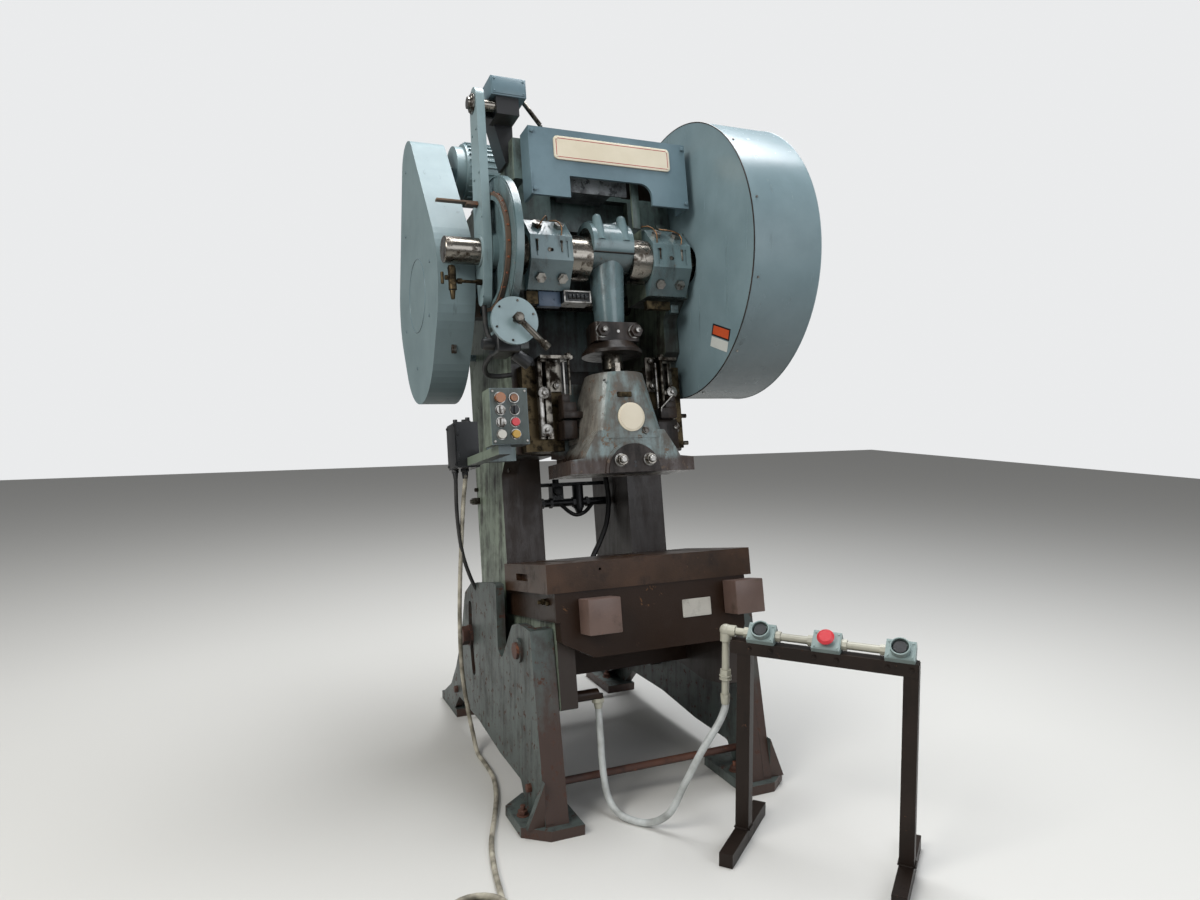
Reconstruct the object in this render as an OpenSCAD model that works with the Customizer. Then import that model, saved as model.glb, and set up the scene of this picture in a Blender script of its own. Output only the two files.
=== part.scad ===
// Geared open-back inclinable stamping press with its two-hand operator stand.
// Millimetres. +X is the operator's right, +Y the back, +Z up. The floor is z = 0 and the
// origin lies midway between the front edges and the back edges of the floor feet.
// Parts of the press body are drawn standing upright, and inclined() leans them back
// about the pivot bolts, as the real body is leaned between its two legs.

/* [Stance] */
// Backward lean of the press body, degrees
incline_deg = 10; // [0:1:16]
// Height of the two pivot bolts above the floor
pivot_z = 570; // [540:5:600]
// Distance of the pivot bolts in front of the origin
pivot_front = 445; // [420:5:470]
// Distance from a pivot bolt back to its clamp bolt
clamp_reach = 660; // [640:5:680]
// Furthest lean that the clamp slots allow, degrees
lean_max = 22; // [18:1:24]

/* [Legs] */
// Width over the side plates of the two legs
leg_span = 912; // [900:4:940]
// Thickness of a leg's side plate
leg_plate_t = 34; // [26:2:40]
// Width of the sloping flanges at the front and back of a leg
leg_flange_w = 84; // [70:2:84]
// Thickness of the sloping flanges
leg_flange_t = 42; // [30:2:50]
// Length of the base, from the front edge to the back edge of the feet
base_length = 1488; // [1440:8:1560]
// Thickness of a foot
foot_t = 36; // [26:2:46]
// Length of a front foot along the base
front_foot_l = 306; // [280:2:330]
// How far a front foot reaches outside the side plate
foot_reach = 76; // [66:2:90]
// Radius of a hole for a floor anchor
anchor_r = 14; // [10:1:16]
// Radius of the tie rods between the legs
tie_rod_r = 14; // [10:1:18]
// Radius of the pivot and clamp bolts
pivot_bolt_r = 24; // [18:1:28]

/* [Body casting] */
// Width over the side walls of the body
body_w = 736; // [720:4:748]
// Thickness of a side wall
side_t = 65; // [50:1:75]
// Width of an upright, seen from the front
upright_w = 168; // [150:2:180]
// Height of the bed top above the floor, body upright
bed_top = 773; // [760:1:790]
// Thickness of the bed slab
bed_t = 100; // [80:2:110]
// Depth of the front apron below the bed top
apron_h = 232; // [200:4:260]
// Distance of the ram axis in front of the origin, body upright
ram_front = 440; // [430:1:450]
// Throat depth, from the ram axis back to the uprights
throat = 361; // [340:1:380]
// Thickness of the uprights from front to back
upright_d = 385; // [360:5:400]
// Height of the crown top above the crank axis
crown_rise = 375; // [365:5:415]
// Width of the drop-through opening in the bed
bed_hole_w = 330; // [200:5:380]
// Depth of the drop-through opening in the bed
bed_hole_d = 230; // [180:5:280]

/* [Bolster] */
// Width of the bolster plate
bolster_w = 826; // [780:2:836]
// Depth of the bolster plate from front to back
bolster_d = 475; // [440:5:490]
// Thickness of the bolster plate
bolster_t = 101; // [80:1:120]
// Radius of the drop-through hole in the bolster
bolster_hole_r = 75; // [50:1:100]
// Width of the tee slots at their mouth
tee_w = 22; // [16:1:26]

/* [Crank] */
// Height of the crankshaft axis, body upright
crank_z = 2045; // [2030:1:2060]
// Throw of the crank, half the stroke
throw_r = 45; // [35:1:50]
// Radius of the main journals
main_r = 70; // [60:1:76]
// Radius of the crank pin
pin_r = 76; // [72:1:82]
// Radius of the polished stub at the left end
stub_r = 50; // [40:1:56]
// Reach of the stub's end from the middle of the press
stub_reach = 650; // [635:1:655]
// Inner face of each main bearing from the middle
bearing_in = 173; // [160:1:176]
// Outer face of each main bearing from the middle
bearing_out = 343; // [335:1:348]
// Wall of the bearing bushes
bush_t = 8; // [6:1:12]
// Radial running clearance of the journals
run_gap = 0.06; // [0.02:0.01:0.1]

/* [Pitman] */
// Width of the pitman across the crank pin
pitman_w = 172; // [150:2:180]
// Outer radius of the big end
big_end_r = 100; // [98:1:112]
// Radius of the round shank
shank_r = 58; // [50:1:64]
// Radius of the adjusting screw
screw_r = 42; // [36:1:46]
// Radius of the ball at the end of the screw
ball_r = 52; // [48:1:56]
// Height of the ball centre at the top of the stroke
ball_z = 1500; // [1495:1:1505]
// Lower edge of the clamp collar
clamp_low = 1702; // [1690:1:1712]
// Height of the clamp collar
clamp_h = 74; // [66:2:90]

/* [Ram] */
// Height of the ram's lower face at the top of the stroke
ram_bottom = 1187; // [1170:1:1200]
// Height of the ram's top edge at the top of the stroke
ram_top = 1575; // [1565:1:1585]
// Width of the flange at the ram's lower end
flange_w = 516; // [480:4:530]
// Thickness of that flange
flange_t = 52; // [40:1:60]
// Distance from the ram axis to the flange's front face
flange_front = 128; // [118:1:134]
// Radius of the ram's round top
ram_top_r = 114; // [108:1:118]
// Radius of the tool shank hole
shank_hole_r = 32; // [25:1:40]
// Radius of the half-round tool clamp
clamp_r = 108; // [96:1:116]
// Width over the noses of the ram's vee slides
vee_span = 450; // [436:2:456]

/* [Gear train] */
// Module of the gear teeth
gear_module = 10; // [9:0.5:10]
// Teeth on the bull gear
bull_teeth = 72; // [68:1:74]
// Teeth on the pinion
pinion_teeth = 16; // [14:1:18]
// Face width of the bull gear
gear_face = 110; // [90:5:130]
// Slope of the line from the crank to the backshaft, degrees below level
train_slope = 7; // [4:1:10]
// Radius of the backshaft
backshaft_r = 38; // [32:1:42]
// Radius of the flywheel
flywheel_r = 335; // [310:1:345]
// Width of the flywheel rim
flywheel_w = 100; // [80:2:110]
// Radius of the motor sheave
sheave_r = 78; // [60:1:86]
// Number of belts
belts = 4; // [3:1:5]
// Radius of the motor body
motor_r = 128; // [110:1:134]
// Height of the motor's feet under its body
motor_foot = 14; // [10:1:24]
// Length of the motor body
motor_l = 400; // [340:5:430]
// Radius of the brake drum's flange
brake_r = 280; // [264:1:286]
// Radius of the ring that the brake band grips
band_r = 206; // [190:1:220]
// Width of the brake drum
brake_w = 47; // [42:1:49]

/* [Guards] */
// Radius of the bull gear guard
gear_guard_r = 568; // [560:1:580]
// Width of the bull gear guard
gear_guard_w = 302; // [280:2:320]
// Inner face of the bull gear guard from the middle
gear_guard_in = 372; // [371:1:380]
// Outer face of the belt guard from the middle
belt_guard_out = 660; // [655:1:670]
// Width of the belt guard
belt_guard_w = 145; // [140:1:150]
// Sheet thickness of both guards
sheet_t = 6; // [3:1:8]

/* [Covers and controls] */
// Width of the crown cover
cover_w = 670; // [640:5:700]
// Distance from the ram axis to the crown cover's front
cover_reach = 117; // [112:1:130]
// Height of the crown cover's lower edge above the crank axis
cover_rise = 197; // [190:1:205]
// Height of the crown cover
cover_h = 266; // [250:2:290]
// Height of the cam shaft above the crank
cam_rise = 567; // [560:1:600]
// Distance of the air valve below the crank axis
valve_drop = 309; // [305:1:340]
// Radius of the air valve's round cover
valve_r = 86; // [75:1:88]
// Width of the control panel
panel_w = 138; // [134:2:150]
// Height of the control panel
panel_h = 200; // [196:1:230]
// Lower edge of the control panel
panel_low = 1300; // [1290:1:1310]
// Radius of the panel's push buttons
button_r = 9; // [7:0.5:10]
// Travel of the push buttons
button_travel = 5; // [3:0.5:6]

/* [Operator stand] */
// Height of the crossbar's top
stand_h = 680; // [640:5:760]
// Width of the square tube of the posts
post_w = 45; // [40:1:50]
// Length of the crossbar
crossbar_l = 585; // [570:5:620]
// Distance between the two posts
post_gap = 520; // [500:5:540]
// Place of the left post to the right of the origin
stand_x = 150; // [120:5:180]
// Place of the left post in front of the origin
stand_front = 985; // [960:5:1040]
// Turn of the stand about its left post, degrees
stand_turn = 50; // [40:1:60]
// Upward tilt of the button faces, degrees
button_tilt = 45; // [30:1:60]

/* [Hidden] */
$fn = 48;

cast_green = "#5f7774";
guard_green = "#8aa1a3";
cover_blue = "#7e95a0";
oily = "#4a3a31";
steel = "#a8a49c";
bronze = "#7a5f38";
black = "#24262a";
galvanised = "#b9b6a4";

half_w = body_w/2;
pivot_y = -pivot_front;
crown_top = crank_z + crown_rise;
valve_z = crank_z - valve_drop;
ram_y = -ram_front;
upright_y = ram_y + throat;
back_y = upright_y + upright_d;
guide_y = ram_y + 110;
bed_front_y = ram_y - 215;
guide_low = 1290;
guide_high = 1640;
bearing_half = 142;
belt_t = 8;
boss_r = 92;
boss_l = 60;
tail_z = 365;
sill_z = 430;
vee_depth = 40;
vee_y = guide_y + vee_depth;
arm_gap = 15;
wall_front_y = guide_y + 45;
slide_half = vee_span/2 - vee_depth;
wall_in = half_w - side_t;
leg_out = leg_span/2;
leg_in = leg_out - leg_plate_t;
flange_in = leg_out - leg_flange_w;
front_y = -base_length/2;
rear_y = base_length/2;
small_gap = 0.3;
clamp_top = clamp_low + clamp_h;
pin_z = crank_z + throw_r;
gear_distance = gear_module*(bull_teeth + pinion_teeth)/2;
backshaft_y = ram_y + gear_distance*cos(train_slope);
backshaft_z = crank_z - gear_distance*sin(train_slope);
motor_y = backshaft_y + 62;
motor_z = crown_top + motor_foot + motor_r;
belt_x = -(belt_guard_out - belt_guard_w/2);

// Leans a child back from the upright stance about the pivot bolts.
module inclined() {
    translate([0, pivot_y, pivot_z]) rotate([-incline_deg, 0, 0])
        translate([0, -pivot_y, -pivot_z]) children();
}

// Extrudes an outline drawn in (y, z) along X from x0 to x1.
module along_x(x0, x1) {
    translate([x0, 0, 0]) rotate([90, 0, 90]) linear_extrude(x1 - x0) children();
}

// Extrudes an outline drawn in (x, z) along Y from y0 to y1.
module along_y(y0, y1) {
    translate([0, y1, 0]) rotate([90, 0, 0]) linear_extrude(y1 - y0) children();
}

// A round bar along X from x0 to x1 with its axis at (y, z).
module bar_x(x0, x1, y, z, r) {
    translate([x0, y, z]) rotate([0, 90, 0]) cylinder(h = x1 - x0, r = r);
}

// A round bar along Y from y0 to y1 with its axis at (x, z).
module bar_y(y0, y1, x, z, r) {
    translate([x, y1, z]) rotate([90, 0, 0]) cylinder(h = y1 - y0, r = r);
}

// A box between two corners.
module span(a, b) {
    translate(a) cube(b - a);
}

// A hexagon head whose underside is at y1 and whose top points to -Y.
module hex_head_y(x, y1, z, across, t) {
    translate([x, y1, z]) rotate([90, 0, 0]) cylinder(h = t, r = across/sqrt(3), $fn = 6);
}

// Rounds the outer corners of an outline by r and its inner corners by f.
module softened(r, f) {
    offset(r = r, $fn = 32) offset(delta = -r)
        offset(r = -f, $fn = 32) offset(delta = f) children();
}

// Legs: two cast side plates with sloping front and back flanges, feet, a raised front hump
// round the pivot bolt, a raised rear hump with the curved clamp slot, and a notch between.
front_top_y = pivot_y - 116;
front_foot_y = front_y + 30;
front_slope_top = pivot_z + 98;
rear_knee_y = 378;
rear_knee_z = 384;
arch_z = 95;

module leg_side_outline() {
    softened(8, 24) polygon([
        [front_top_y, front_slope_top], [pivot_y - 32, pivot_z + 98], [pivot_y + 30, pivot_z + 90],
        [pivot_y + 83, pivot_z + 71], [pivot_y + 210, 478], [pivot_y + 262, 500],
        [pivot_y + 285, 748], [pivot_y + 325, 750], [197, 683], [300, 620],
        [rear_knee_y, rear_knee_z], [470, 235], [560, 130], [rear_y - 20, foot_t],
        [rear_y - 250, foot_t], [rear_y - 330, arch_z + 20], [100, arch_z + 25],
        [-200, arch_z], [front_y + 290, arch_z], [front_y + 250, foot_t], [front_foot_y, foot_t]]);
}

module front_flange_outline() {
    polygon([[front_top_y, front_slope_top], [front_foot_y, foot_t - 6],
        [front_foot_y + leg_flange_t*1.3, foot_t - 6], [front_top_y + leg_flange_t, front_slope_top]]);
}

module rear_flange_outline() {
    softened(2, 12) polygon([[300, 620], [rear_knee_y, rear_knee_z], [470, 235], [560, 130],
        [rear_y - 20, foot_t - 6], [rear_y - 90, foot_t - 6], [530, 95], [445, 200],
        [rear_knee_y - leg_flange_t, rear_knee_z], [300 - leg_flange_t, 620]]);
}

module front_foot_outline() {
    reach = leg_out + foot_reach;
    cut = foot_reach + 8;
    polygon([[leg_out - 130, front_y], [reach - cut, front_y], [reach, front_y + 68],
        [reach, front_y + front_foot_l - 68], [reach - cut, front_y + front_foot_l],
        [leg_out - 130, front_y + front_foot_l]]);
}

anchor_x = leg_in - 57;
anchor_y = base_length/2 - 147;
outer_anchor_x = leg_out + foot_reach/2 + 4;
slot_pad = 62;

// One point on the arc that a clamp bolt follows at a given lean.
function slot_point(lean) = [pivot_y + clamp_reach*cos(lean), pivot_z - clamp_reach*sin(lean)];

// Outline of a round-ended curved slot about the pivot, from a little above level to the
// furthest lean.
function slot_spot(lean, k, r) = slot_point(lean) + r*[cos(lean + k), -sin(lean + k)];

module slot_outline(r, extra) {
    a0 = -extra;
    a1 = lean_max + extra;
    polygon(concat([for (i = [0:10]) slot_spot(a0 + (a1 - a0)*i/10, 0, r)],
        [for (k = [20:20:160]) slot_spot(a1, k, r)],
        [for (i = [10:-1:0]) slot_spot(a0 + (a1 - a0)*i/10, 180, r)],
        [for (k = [200:20:340]) slot_spot(a0, k, r)]));
}

module leg() {
    difference() {
        union() {
            along_x(leg_in, leg_out) leg_side_outline();
            along_x(flange_in, leg_out) front_flange_outline();
            along_x(flange_in, leg_out) rear_flange_outline();
            linear_extrude(foot_t) front_foot_outline();
            span([leg_in - 110, rear_y - 282, 0], [leg_out, rear_y, foot_t]);
            along_x(half_w + small_gap, leg_in + 1) slot_outline(slot_pad, 3);
            bar_x(half_w + small_gap, leg_in + 1, pivot_y, pivot_z, 70);
            bar_x(leg_out - 1, leg_out + 10, pivot_y, pivot_z, 44);
            foot_gusset();
        }
        bar_x(half_w - 1, leg_out + 20, pivot_y, pivot_z, pivot_bolt_r + 0.05);
        along_x(half_w - 1, leg_out + 20) slot_outline(pivot_bolt_r + 2, 0.5);
        for (p = [[anchor_x, -anchor_y], [anchor_x, anchor_y], [outer_anchor_x, -anchor_y]])
            translate([p[0], p[1], -1]) cylinder(h = foot_t + 2, r = anchor_r);
    }
}

// A web that ties the side plate to the part of the front foot outside it.
module foot_gusset() {
    along_y(front_y + 40, front_y + 64) polygon([[leg_out - 1, foot_t - 2],
        [leg_out + foot_reach - 14, foot_t - 2], [leg_out - 1, foot_t + 150]]);
}

module left_leg() color(cast_green) mirror([1, 0, 0]) leg();

module right_leg() color(cast_green) leg();

// Leg ties: tie rods low at the front and at the back, and pivot bolts through the front
// humps of the legs into the body walls.
tie_spots = [[front_y + 184, 110], [rear_y - 300, 140]];

module leg_ties() {
    color(oily) {
        for (p = tie_spots) bar_x(-leg_in, leg_in, p[0], p[1], tie_rod_r);
        for (s = [0, 1]) mirror([s, 0, 0]) {
            bar_x(wall_in + 5, leg_out + 10, pivot_y, pivot_z, pivot_bolt_r);
            bar_x(leg_out + 10, leg_out + 20, pivot_y, pivot_z, pivot_bolt_r + 6);
        }
    }
}

// Clamp bolts: fixed in the body wall, they ride in the curved slots of the legs.
module clamp_bolts() {
    color(oily) inclined() for (s = [0, 1]) mirror([s, 0, 0]) {
        bar_x(wall_in + 5, leg_out + 12.5, pivot_y + clamp_reach, pivot_z, pivot_bolt_r);
        bar_x(leg_out + small_gap, leg_out + 12, pivot_y + clamp_reach, pivot_z, 44);
        translate([leg_out + 12, pivot_y + clamp_reach, pivot_z]) rotate([0, 90, 0])
            cylinder(h = 30, r = 40, $fn = 6);
    }
}

// Body walls: two side walls with an open throat, box uprights, guide arms for the ram,
// bearing housings split at the crank axis, and the ears and webs of the crown.
module body_side_outline() {
    softened(10, 34) polygon([
        [bed_front_y + 55, tail_z], [bed_front_y + 55, bed_top], [upright_y, bed_top],
        [upright_y, guide_low - 60], [upright_y - 60, guide_low], [wall_front_y, guide_low],
        [wall_front_y, guide_high + 20], [guide_y, guide_high + 65], [guide_y, crank_z - bearing_half - 60], [ram_y + 40, crank_z - bearing_half],
        [ram_y, crank_z - bearing_half], [ram_y, crank_z + bearing_half],
        [ram_y + 40, crank_z + bearing_half], [guide_y, crank_z + bearing_half + 60],
        [guide_y, crown_top], [back_y - 90, crown_top], [back_y, crown_top - 160],
        [back_y, sill_z], [-250, sill_z - 20], [-420, tail_z]]);
}

module upright_box() {
    span([half_w - upright_w, upright_y, bed_top - 60], [wall_in + 1, back_y, guide_low + 30]);
}

module bearing_block() {
    span([bearing_in, ram_y, crank_z - bearing_half], [wall_in + 1, guide_y + 60, crank_z + bearing_half]);
}

module guide_arm() {
    span([slide_half + 2, vee_y + vee_depth + arm_gap, guide_low], [wall_in + 1, upright_y + 40, guide_high]);
}

// An ear at the top of each wall, which carries the crown cover.
ear_front_y = ram_y - 27;

module crown_ear() {
    along_x(half_w - 45, half_w - 1) polygon([[ear_front_y, crown_top - 84], [ear_front_y, crown_top + 77],
        [ear_front_y + 47, crown_top + 77], [ear_front_y + 57, crown_top], [guide_y + 1, crown_top],
        [guide_y + 1, crown_top - 84]]);
}

// Webs from wall to wall, at the back of the crown and in front of the crown's chamber.
roof_t = 80;

module back_webs() {
    x = wall_in + 1;
    span([-x, back_y - 190, 1700], [x, back_y - 150, crown_top - roof_t]);
    span([-x, guide_y + 40, crank_z + 165], [x, guide_y + 60, crown_top - roof_t]);
}

module frame() {
    color(cast_green) inclined() difference() {
        union() {
            for (s = [0, 1]) mirror([s, 0, 0]) {
                along_x(wall_in, half_w) body_side_outline();
                upright_box();
                bearing_block();
                guide_arm();
                crown_ear();
                bar_x(half_w - 1, half_w + boss_l, backshaft_y, backshaft_z, boss_r);
                span([bearing_in, guide_y, crank_z + bearing_half - 40],
                    [wall_in + 1, guide_y + 60, crown_top - roof_t]);
            }
            back_webs();
        }
        span([-slab_side - 1, bed_front_y, bed_top - bed_t], [slab_side + 1, upright_y - 20, bed_top]);
        for (s = [0, 1]) mirror([s, 0, 0]) {
            bar_x(bearing_in - 1, half_w + 1, ram_y, crank_z, main_r + bush_t);
            bar_x(wall_in - 1, half_w + boss_l + 1, backshaft_y, backshaft_z, backshaft_r + bush_t);
            bar_x(wall_in - 1, half_w + 1, pivot_y, pivot_z, pivot_bolt_r + 0.05);
            bar_x(wall_in - 1, half_w + 1, pivot_y + clamp_reach, pivot_z, pivot_bolt_r);
        }
    }
}

apron_side = 370;
slab_side = 385;

module bed_slab() {
    difference() {
        union() {
            span([-slab_side, bed_front_y, bed_top - bed_t], [slab_side, upright_y - 20, bed_top]);
            along_y(bed_front_y, bed_front_y + 55) softened(20, 2) polygon([
                [-apron_side, bed_top - 20], [-apron_side, bed_top - apron_h + 60],
                [-apron_side + 120, bed_top - apron_h], [apron_side - 60, bed_top - apron_h],
                [apron_side, bed_top - apron_h + 40], [apron_side, bed_top - 20]]);
        }
        span([-bed_hole_w/2, ram_y - bed_hole_d/2, bed_top - bed_t - 1],
            [bed_hole_w/2, ram_y + bed_hole_d/2, bed_top + 1]);
    }
}

// Cast stop blocks on the front of the apron.
block_proud = 88;

module bed_blocks() {
    span([-298, bed_front_y - block_proud, bed_top - 144], [-180, bed_front_y + 1, bed_top - 27]);
    span([288, bed_front_y - block_proud, bed_top - 133], [404, bed_front_y + 1, bed_top - 15]);
}

// Pipe elbow in the left wall for the conduit that runs to the operator stand.
elbow_x = -197;
elbow_y = -526;
elbow_z = 392;
elbow_r = 20;

module conduit_elbow() {
    bar_x(-wall_in, elbow_x, elbow_y, elbow_z, elbow_r);
    translate([elbow_x, elbow_y, elbow_z - 24]) cylinder(h = 24, r = elbow_r);
}

// Cross members of the body: the bed slab with its apron and stop blocks, webs under the bed
// and across the back of the sill, the roof of the crown, and the conduit elbow.
module cross_members() {
    color(cast_green) inclined() {
        bed_slab();
        bed_blocks();
        conduit_elbow();
        span([-wall_in, -300, sill_z], [wall_in, -260, bed_top - bed_t + 1]);
        span([-wall_in, back_y - 70, sill_z + 40], [wall_in, back_y - 20, bed_top - 60]);
        span([-wall_in, guide_y, crown_top - roof_t], [wall_in, back_y - 60, crown_top]);
    }
}

// Bolster plate with tee slots across its ends and a drop-through hole.
bolster_front_y = bed_front_y - 5;
bolster_top = bed_top + bolster_t;
tee_xs = [-290, 290];
tee_front_y = bolster_front_y + 60;

module bolster() {
    color(oily) inclined() difference() {
        span([-bolster_w/2, bolster_front_y, bed_top], [bolster_w/2, bolster_front_y + bolster_d, bolster_top]);
        translate([0, ram_y, bed_top - 1]) cylinder(h = bolster_t + 2, r = bolster_hole_r);
        for (x = tee_xs) {
            span([x - tee_w/2, tee_front_y, bolster_top - 40],
                [x + tee_w/2, bolster_front_y + bolster_d + 1, bolster_top + 1]);
            span([x - tee_w, tee_front_y, bolster_top - 44],
                [x + tee_w, bolster_front_y + bolster_d + 1, bolster_top - 24]);
        }
        for (s = [-1, 1], y = [-560, -300]) translate([s*370, y, bed_top - 1])
            cylinder(h = bolster_t + 2, r = 14.05);
        span([-bolster_w/2 - 1, bolster_front_y + 200, bed_top + 40],
            [-bolster_w/2 + 22, bolster_front_y + 330, bed_top + 66]);
        bar_y(bolster_front_y - 1, bolster_front_y + 20, -211, bed_top + 71, 5);
    }
}

// Bolster bolts, sunk socket screws at the four corners.
module bolster_bolts() {
    color(oily) inclined() for (s = [-1, 1], y = [-560, -300])
        translate([s*370, y, bed_top + 0.2]) cylinder(h = bolster_t - 12, r = 14);
}

// Crankshaft: one forging with two main journals, round cheeks, the crank pin and the long stub.
module crankshaft() {
    color(steel) inclined() {
        bar_x(-stub_reach, -bearing_out + 1, ram_y, crank_z, stub_r);
        for (s = [0, 1]) mirror([s, 0, 0]) {
            bar_x(bearing_in - 6, bearing_out, ram_y, crank_z, main_r);
            bar_x(pitman_w/2 + 1, bearing_in - 1, ram_y, crank_z, main_r + 18);
        }
        bar_x(-pitman_w/2 - 2, pitman_w/2 + 2, ram_y, pin_z, pin_r);
        bar_x(bearing_out - 1, gear_x1 + 20, ram_y, crank_z, stub_r + 12);
    }
}

// Bronze bushes of the crankshaft and of the backshaft.
module bearing_bushes() {
    color(bronze) inclined() for (s = [0, 1]) mirror([s, 0, 0]) difference() {
        union() {
            bar_x(bearing_in, bearing_out, ram_y, crank_z, main_r + bush_t);
            bar_x(wall_in, half_w + boss_l, backshaft_y, backshaft_z, backshaft_r + bush_t);
        }
        bar_x(bearing_in - 1, bearing_out + 1, ram_y, crank_z, main_r + run_gap);
        bar_x(wall_in - 1, half_w + boss_l + 1, backshaft_y, backshaft_z, backshaft_r + run_gap);
    }
}

// Main bearing caps: each has a sloping face above and below its flat front, as offsets
// (y, z) from the crank axis, and a centre hole between two upright slots.
cap_depth = main_r + bush_t + 12;
cap_lower = [[-24, -142], [-cap_depth, -42]];
cap_upper = [[-cap_depth, 52], [-24, 130]];

module bearing_cap() {
    mid = (bearing_in + bearing_out)/2;
    front = ram_y - cap_depth;
    difference() {
        translate([0, ram_y, crank_z]) along_x(bearing_in, bearing_out)
            polygon([[0, -142], cap_lower[0], cap_lower[1], cap_upper[0], cap_upper[1], [0, 130]]);
        bar_x(bearing_in - 1, bearing_out + 1, ram_y, crank_z, main_r + bush_t);
        bar_y(front - 1, ram_y, mid, crank_z - 4, 7);
        for (x = [mid - 62, mid + 62]) span([x - 4, front - 1, crank_z - 30], [x + 4, front + 4, crank_z + 34]);
    }
}

module bearing_caps() {
    color(guard_green) inclined() for (s = [0, 1]) mirror([s, 0, 0]) bearing_cap();
}

// Hexagon heads of the cap bolts, square to the sloping faces, at a share of each slope.
module cap_bolt(x, slope, share) {
    run = slope[1] - slope[0];
    seat = slope[0] + share*run;
    translate([x, ram_y + seat[0], crank_z + seat[1]]) rotate([atan2(run[1], run[0]), 0, 0])
        translate([0, 0, 0.02]) cylinder(h = 16, r = 36/sqrt(3), $fn = 6);
}

module cap_bolts() {
    color(steel) inclined() for (s = [-1, 1], x = [bearing_in + 38, bearing_out - 44]) {
        cap_bolt(s*x, cap_lower, 0.43);
        cap_bolt(s*x, cap_upper, 0.61);
    }
}

// Pitman: big end round the crank pin with two upright bosses, and a tapered shank that is
// split at its clamp end.
boss_x = 54;
pitman_boss_z = pin_z + big_end_r + 2;

module pitman() {
    color(guard_green) inclined() difference() {
        union() {
            bar_x(-pitman_w/2, pitman_w/2, ram_y, pin_z, big_end_r);
            for (s = [-1, 1]) translate([s*boss_x, ram_y + 4, pin_z + pin_r - 20])
                cylinder(h = pitman_boss_z - pin_z - pin_r + 20, r = 23);
            translate([0, ram_y, clamp_top]) cylinder(h = pin_z - clamp_top - 40, r1 = shank_r, r2 = shank_r + 16);
            translate([0, ram_y, clamp_low]) cylinder(h = clamp_h + 1, r = shank_r + 6);
        }
        bar_x(-pitman_w/2 - 1, pitman_w/2 + 1, ram_y, pin_z, pin_r + run_gap);
        translate([0, ram_y, clamp_low - 1]) cylinder(h = 141, r = screw_r);
    }
}

// Domed nuts on the bosses of the pitman's big end.
module pitman_bolts() {
    color(guard_green) inclined() for (s = [-1, 1]) translate([s*boss_x, ram_y + 4, pitman_boss_z])
        rotate_extrude() polygon(concat([[0, 0], [19, 0]], [for (a = [0:15:90]) [19*cos(a), 2 + 9*sin(a)]]));
}

// Adjusting screw: threaded shaft clamped in the pitman, ending in a ball.
module adjusting_screw() {
    color(steel) inclined() translate([0, ram_y, 0]) rotate_extrude() polygon(concat(
        [[0, ball_z - ball_r]],
        [for (a = [-80:10:50]) [ball_r*cos(a), ball_z + ball_r*sin(a)]],
        [[screw_r - 8, ball_z + 52], [screw_r - 8, ball_z + 90], [screw_r, ball_z + 100],
            [screw_r, clamp_low + 140], [0, clamp_low + 140]]));
}

// Clamp collar round the lower end of the pitman, with its two bolts and the flared skirt
// below it that keeps chips off the screw.
module clamp_collar() {
    color(oily) inclined() {
        difference() {
            linear_extrude_at(clamp_low) softened(20, 4)
                polygon([[-96, ram_y - 74], [96, ram_y - 74], [96, ram_y - 20], [74, ram_y + 74],
                    [-74, ram_y + 74], [-96, ram_y - 20]]);
            translate([0, ram_y, clamp_low - 1]) cylinder(h = clamp_h + 2, r = shank_r + 6);
        }
        for (s = [-1, 1]) hex_head_y(s*70, ram_y - 74, (clamp_low + clamp_top)/2, 44, 24);
        translate([0, ram_y, clamp_low]) rotate_extrude()
            polygon([[screw_r + 0.3, -46], [120, -46], [120, -34], [90, 0], [screw_r + 0.3, 0]]);
    }
}

module linear_extrude_at(z) {
    translate([0, 0, z]) linear_extrude(clamp_h) children();
}

// Ram: hollow casting with a round top, a flared front, a flange for tools and vee slides.
module ram() {
    color(cast_green) inclined() difference() {
        union() {
            ram_column();
            span([-slide_half, vee_y - vee_depth, ram_bottom + flange_t - 2],
                [slide_half, vee_y + vee_depth + 10, ram_top - 12]);
            for (s = [0, 1]) mirror([s, 0, 0]) translate([0, 0, ram_bottom + flange_t + 30])
                linear_extrude(ram_top - ram_bottom - flange_t - 42) polygon([
                    [slide_half - 1, vee_y - vee_depth], [slide_half + vee_depth, vee_y - 4],
                    [slide_half + vee_depth, vee_y + 4], [slide_half - 1, vee_y + vee_depth]]);
            ram_flange();
            bar_y(ram_y - flange_front - 6, ram_y - 40, 0, ram_bottom, clamp_r + 12);
        }
        span([-300, ram_y - 300, ram_bottom - 300], [300, ram_y + 300, ram_bottom]);
        bar_y(ram_y - flange_front - 20, ram_y, 0, ram_bottom, clamp_r + 0.2);
        translate([0, ram_y, ram_bottom - 1]) cylinder(h = 131, r = shank_hole_r);
        translate([0, 0, ball_z - ball_r - 12]) linear_extrude(400) hull() {
            translate([0, ram_y]) circle(r = ball_r + 3, $fn = 40);
            translate([0, ram_y + throw_r]) circle(r = ball_r + 3, $fn = 40);
        }
    }
}

module ram_column() {
    hull() {
        translate([0, ram_y, ram_top - 10]) cylinder(h = 10, r = ram_top_r, $fn = 40);
        for (s = [-1, 1]) translate([s*106, ram_y - flange_front + 30, ram_bottom + 130])
            cylinder(h = 10, r = 32, $fn = 24);
        span([-slide_half + 20, vee_y - vee_depth, ram_bottom + 130],
            [slide_half - 20, vee_y, ram_bottom + 140]);
    }
}

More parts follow.
